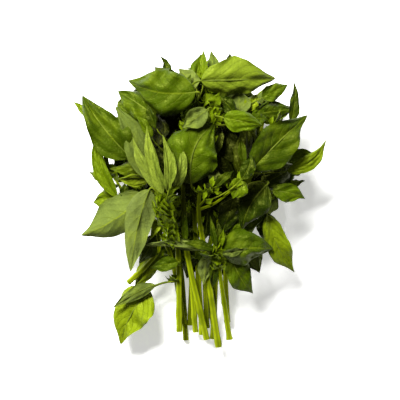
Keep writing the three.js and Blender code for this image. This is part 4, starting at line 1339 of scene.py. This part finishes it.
class BASIL_OT_stage(bpy.types.Operator):
    """Lay the pale table, hang the soft light and set the camera overhead"""

    bl_idname = "basil.stage"
    bl_label = "Set the stage"

    def execute(self, context):
        settings = context.scene.basil_stage
        scene = context.scene
        mesh = bpy.data.meshes.new("table")
        corners = [(x * TABLE_HALF, y * TABLE_HALF, 0) for x, y in ((-1, -1), (1, -1), (1, 1), (-1, 1))]
        mesh.from_pydata(corners, [], [(0, 1, 2, 3)])
        mesh.materials.append(floor_material(settings))
        linked("table", mesh)
        world = bpy.data.worlds.new("soft_room")
        world.use_nodes = True
        world.node_tree.nodes["Background"].inputs["Color"].default_value = (1.0, 1.0, 1.0, 1.0)
        world.node_tree.nodes["Background"].inputs["Strength"].default_value = settings.fill
        scene.world = world
        key = bpy.data.lights.new("key", "AREA")
        key.shape = "RECTANGLE"
        key.size, key.size_y = KEY_SIZE
        key.energy = settings.key
        lamp = linked("key", key)
        lamp.location = KEY_PLACE
        lamp.rotation_euler = lamp.location.to_track_quat("Z", "Y").to_euler()
        camera = bpy.data.cameras.new("overhead")
        camera.lens = settings.lens
        camera.sensor_width = SENSOR_WIDE
        scene.camera = linked("overhead", camera)
        scene.camera.location = (SHIFT[0] * MM, SHIFT[1] * MM, MIDDLE_HIGH + settings.distance)
        scene.view_settings.view_transform = "Standard"
        return {"FINISHED"}


class BASIL_PT_panel(bpy.types.Panel):
    """Sizes, colours and steps of the basil bunch"""

    bl_idname = "BASIL_PT_panel"
    bl_label = "Basil bunch"
    bl_space_type = "VIEW_3D"
    bl_region_type = "UI"
    bl_category = "Basil"

    def draw(self, context):
        for group, operators in PANEL_ROWS:
            box = self.layout.box()
            settings = getattr(context.scene, group)
            for key in settings.bl_rna.properties.keys():
                if key not in ("rna_type", "name"):
                    box.prop(settings, key)
            for operator in operators:
                box.operator(operator)


SETTINGS = (
    ("basil_stems", BasilStemSettings),
    ("basil_leaves", BasilLeafSettings),
    ("basil_stage", BasilStageSettings),
)
PANEL_ROWS = (
    ("basil_stems", ("basil.stems", "basil.buds")),
    ("basil_leaves", ("basil.leaves",)),
    ("basil_stage", ("basil.stage",)),
)
OPERATORS = (BASIL_OT_stems, BASIL_OT_leaves, BASIL_OT_buds, BASIL_OT_stage)


def register():
    for name, group in SETTINGS:
        bpy.utils.register_class(group)
        setattr(bpy.types.Scene, name, bpy.props.PointerProperty(type=group))
    for kind in (*OPERATORS, BASIL_PT_panel):
        bpy.utils.register_class(kind)


def unregister():
    for kind in (BASIL_PT_panel, *reversed(OPERATORS)):
        bpy.utils.unregister_class(kind)
    for name, group in reversed(SETTINGS):
        delattr(bpy.types.Scene, name)
        bpy.utils.unregister_class(group)


def main():
    register()
    bpy.ops.basil.stems()
    bpy.ops.basil.leaves()
    bpy.ops.basil.buds()
    bpy.ops.basil.stage()


if __name__ == "__main__":
    main()
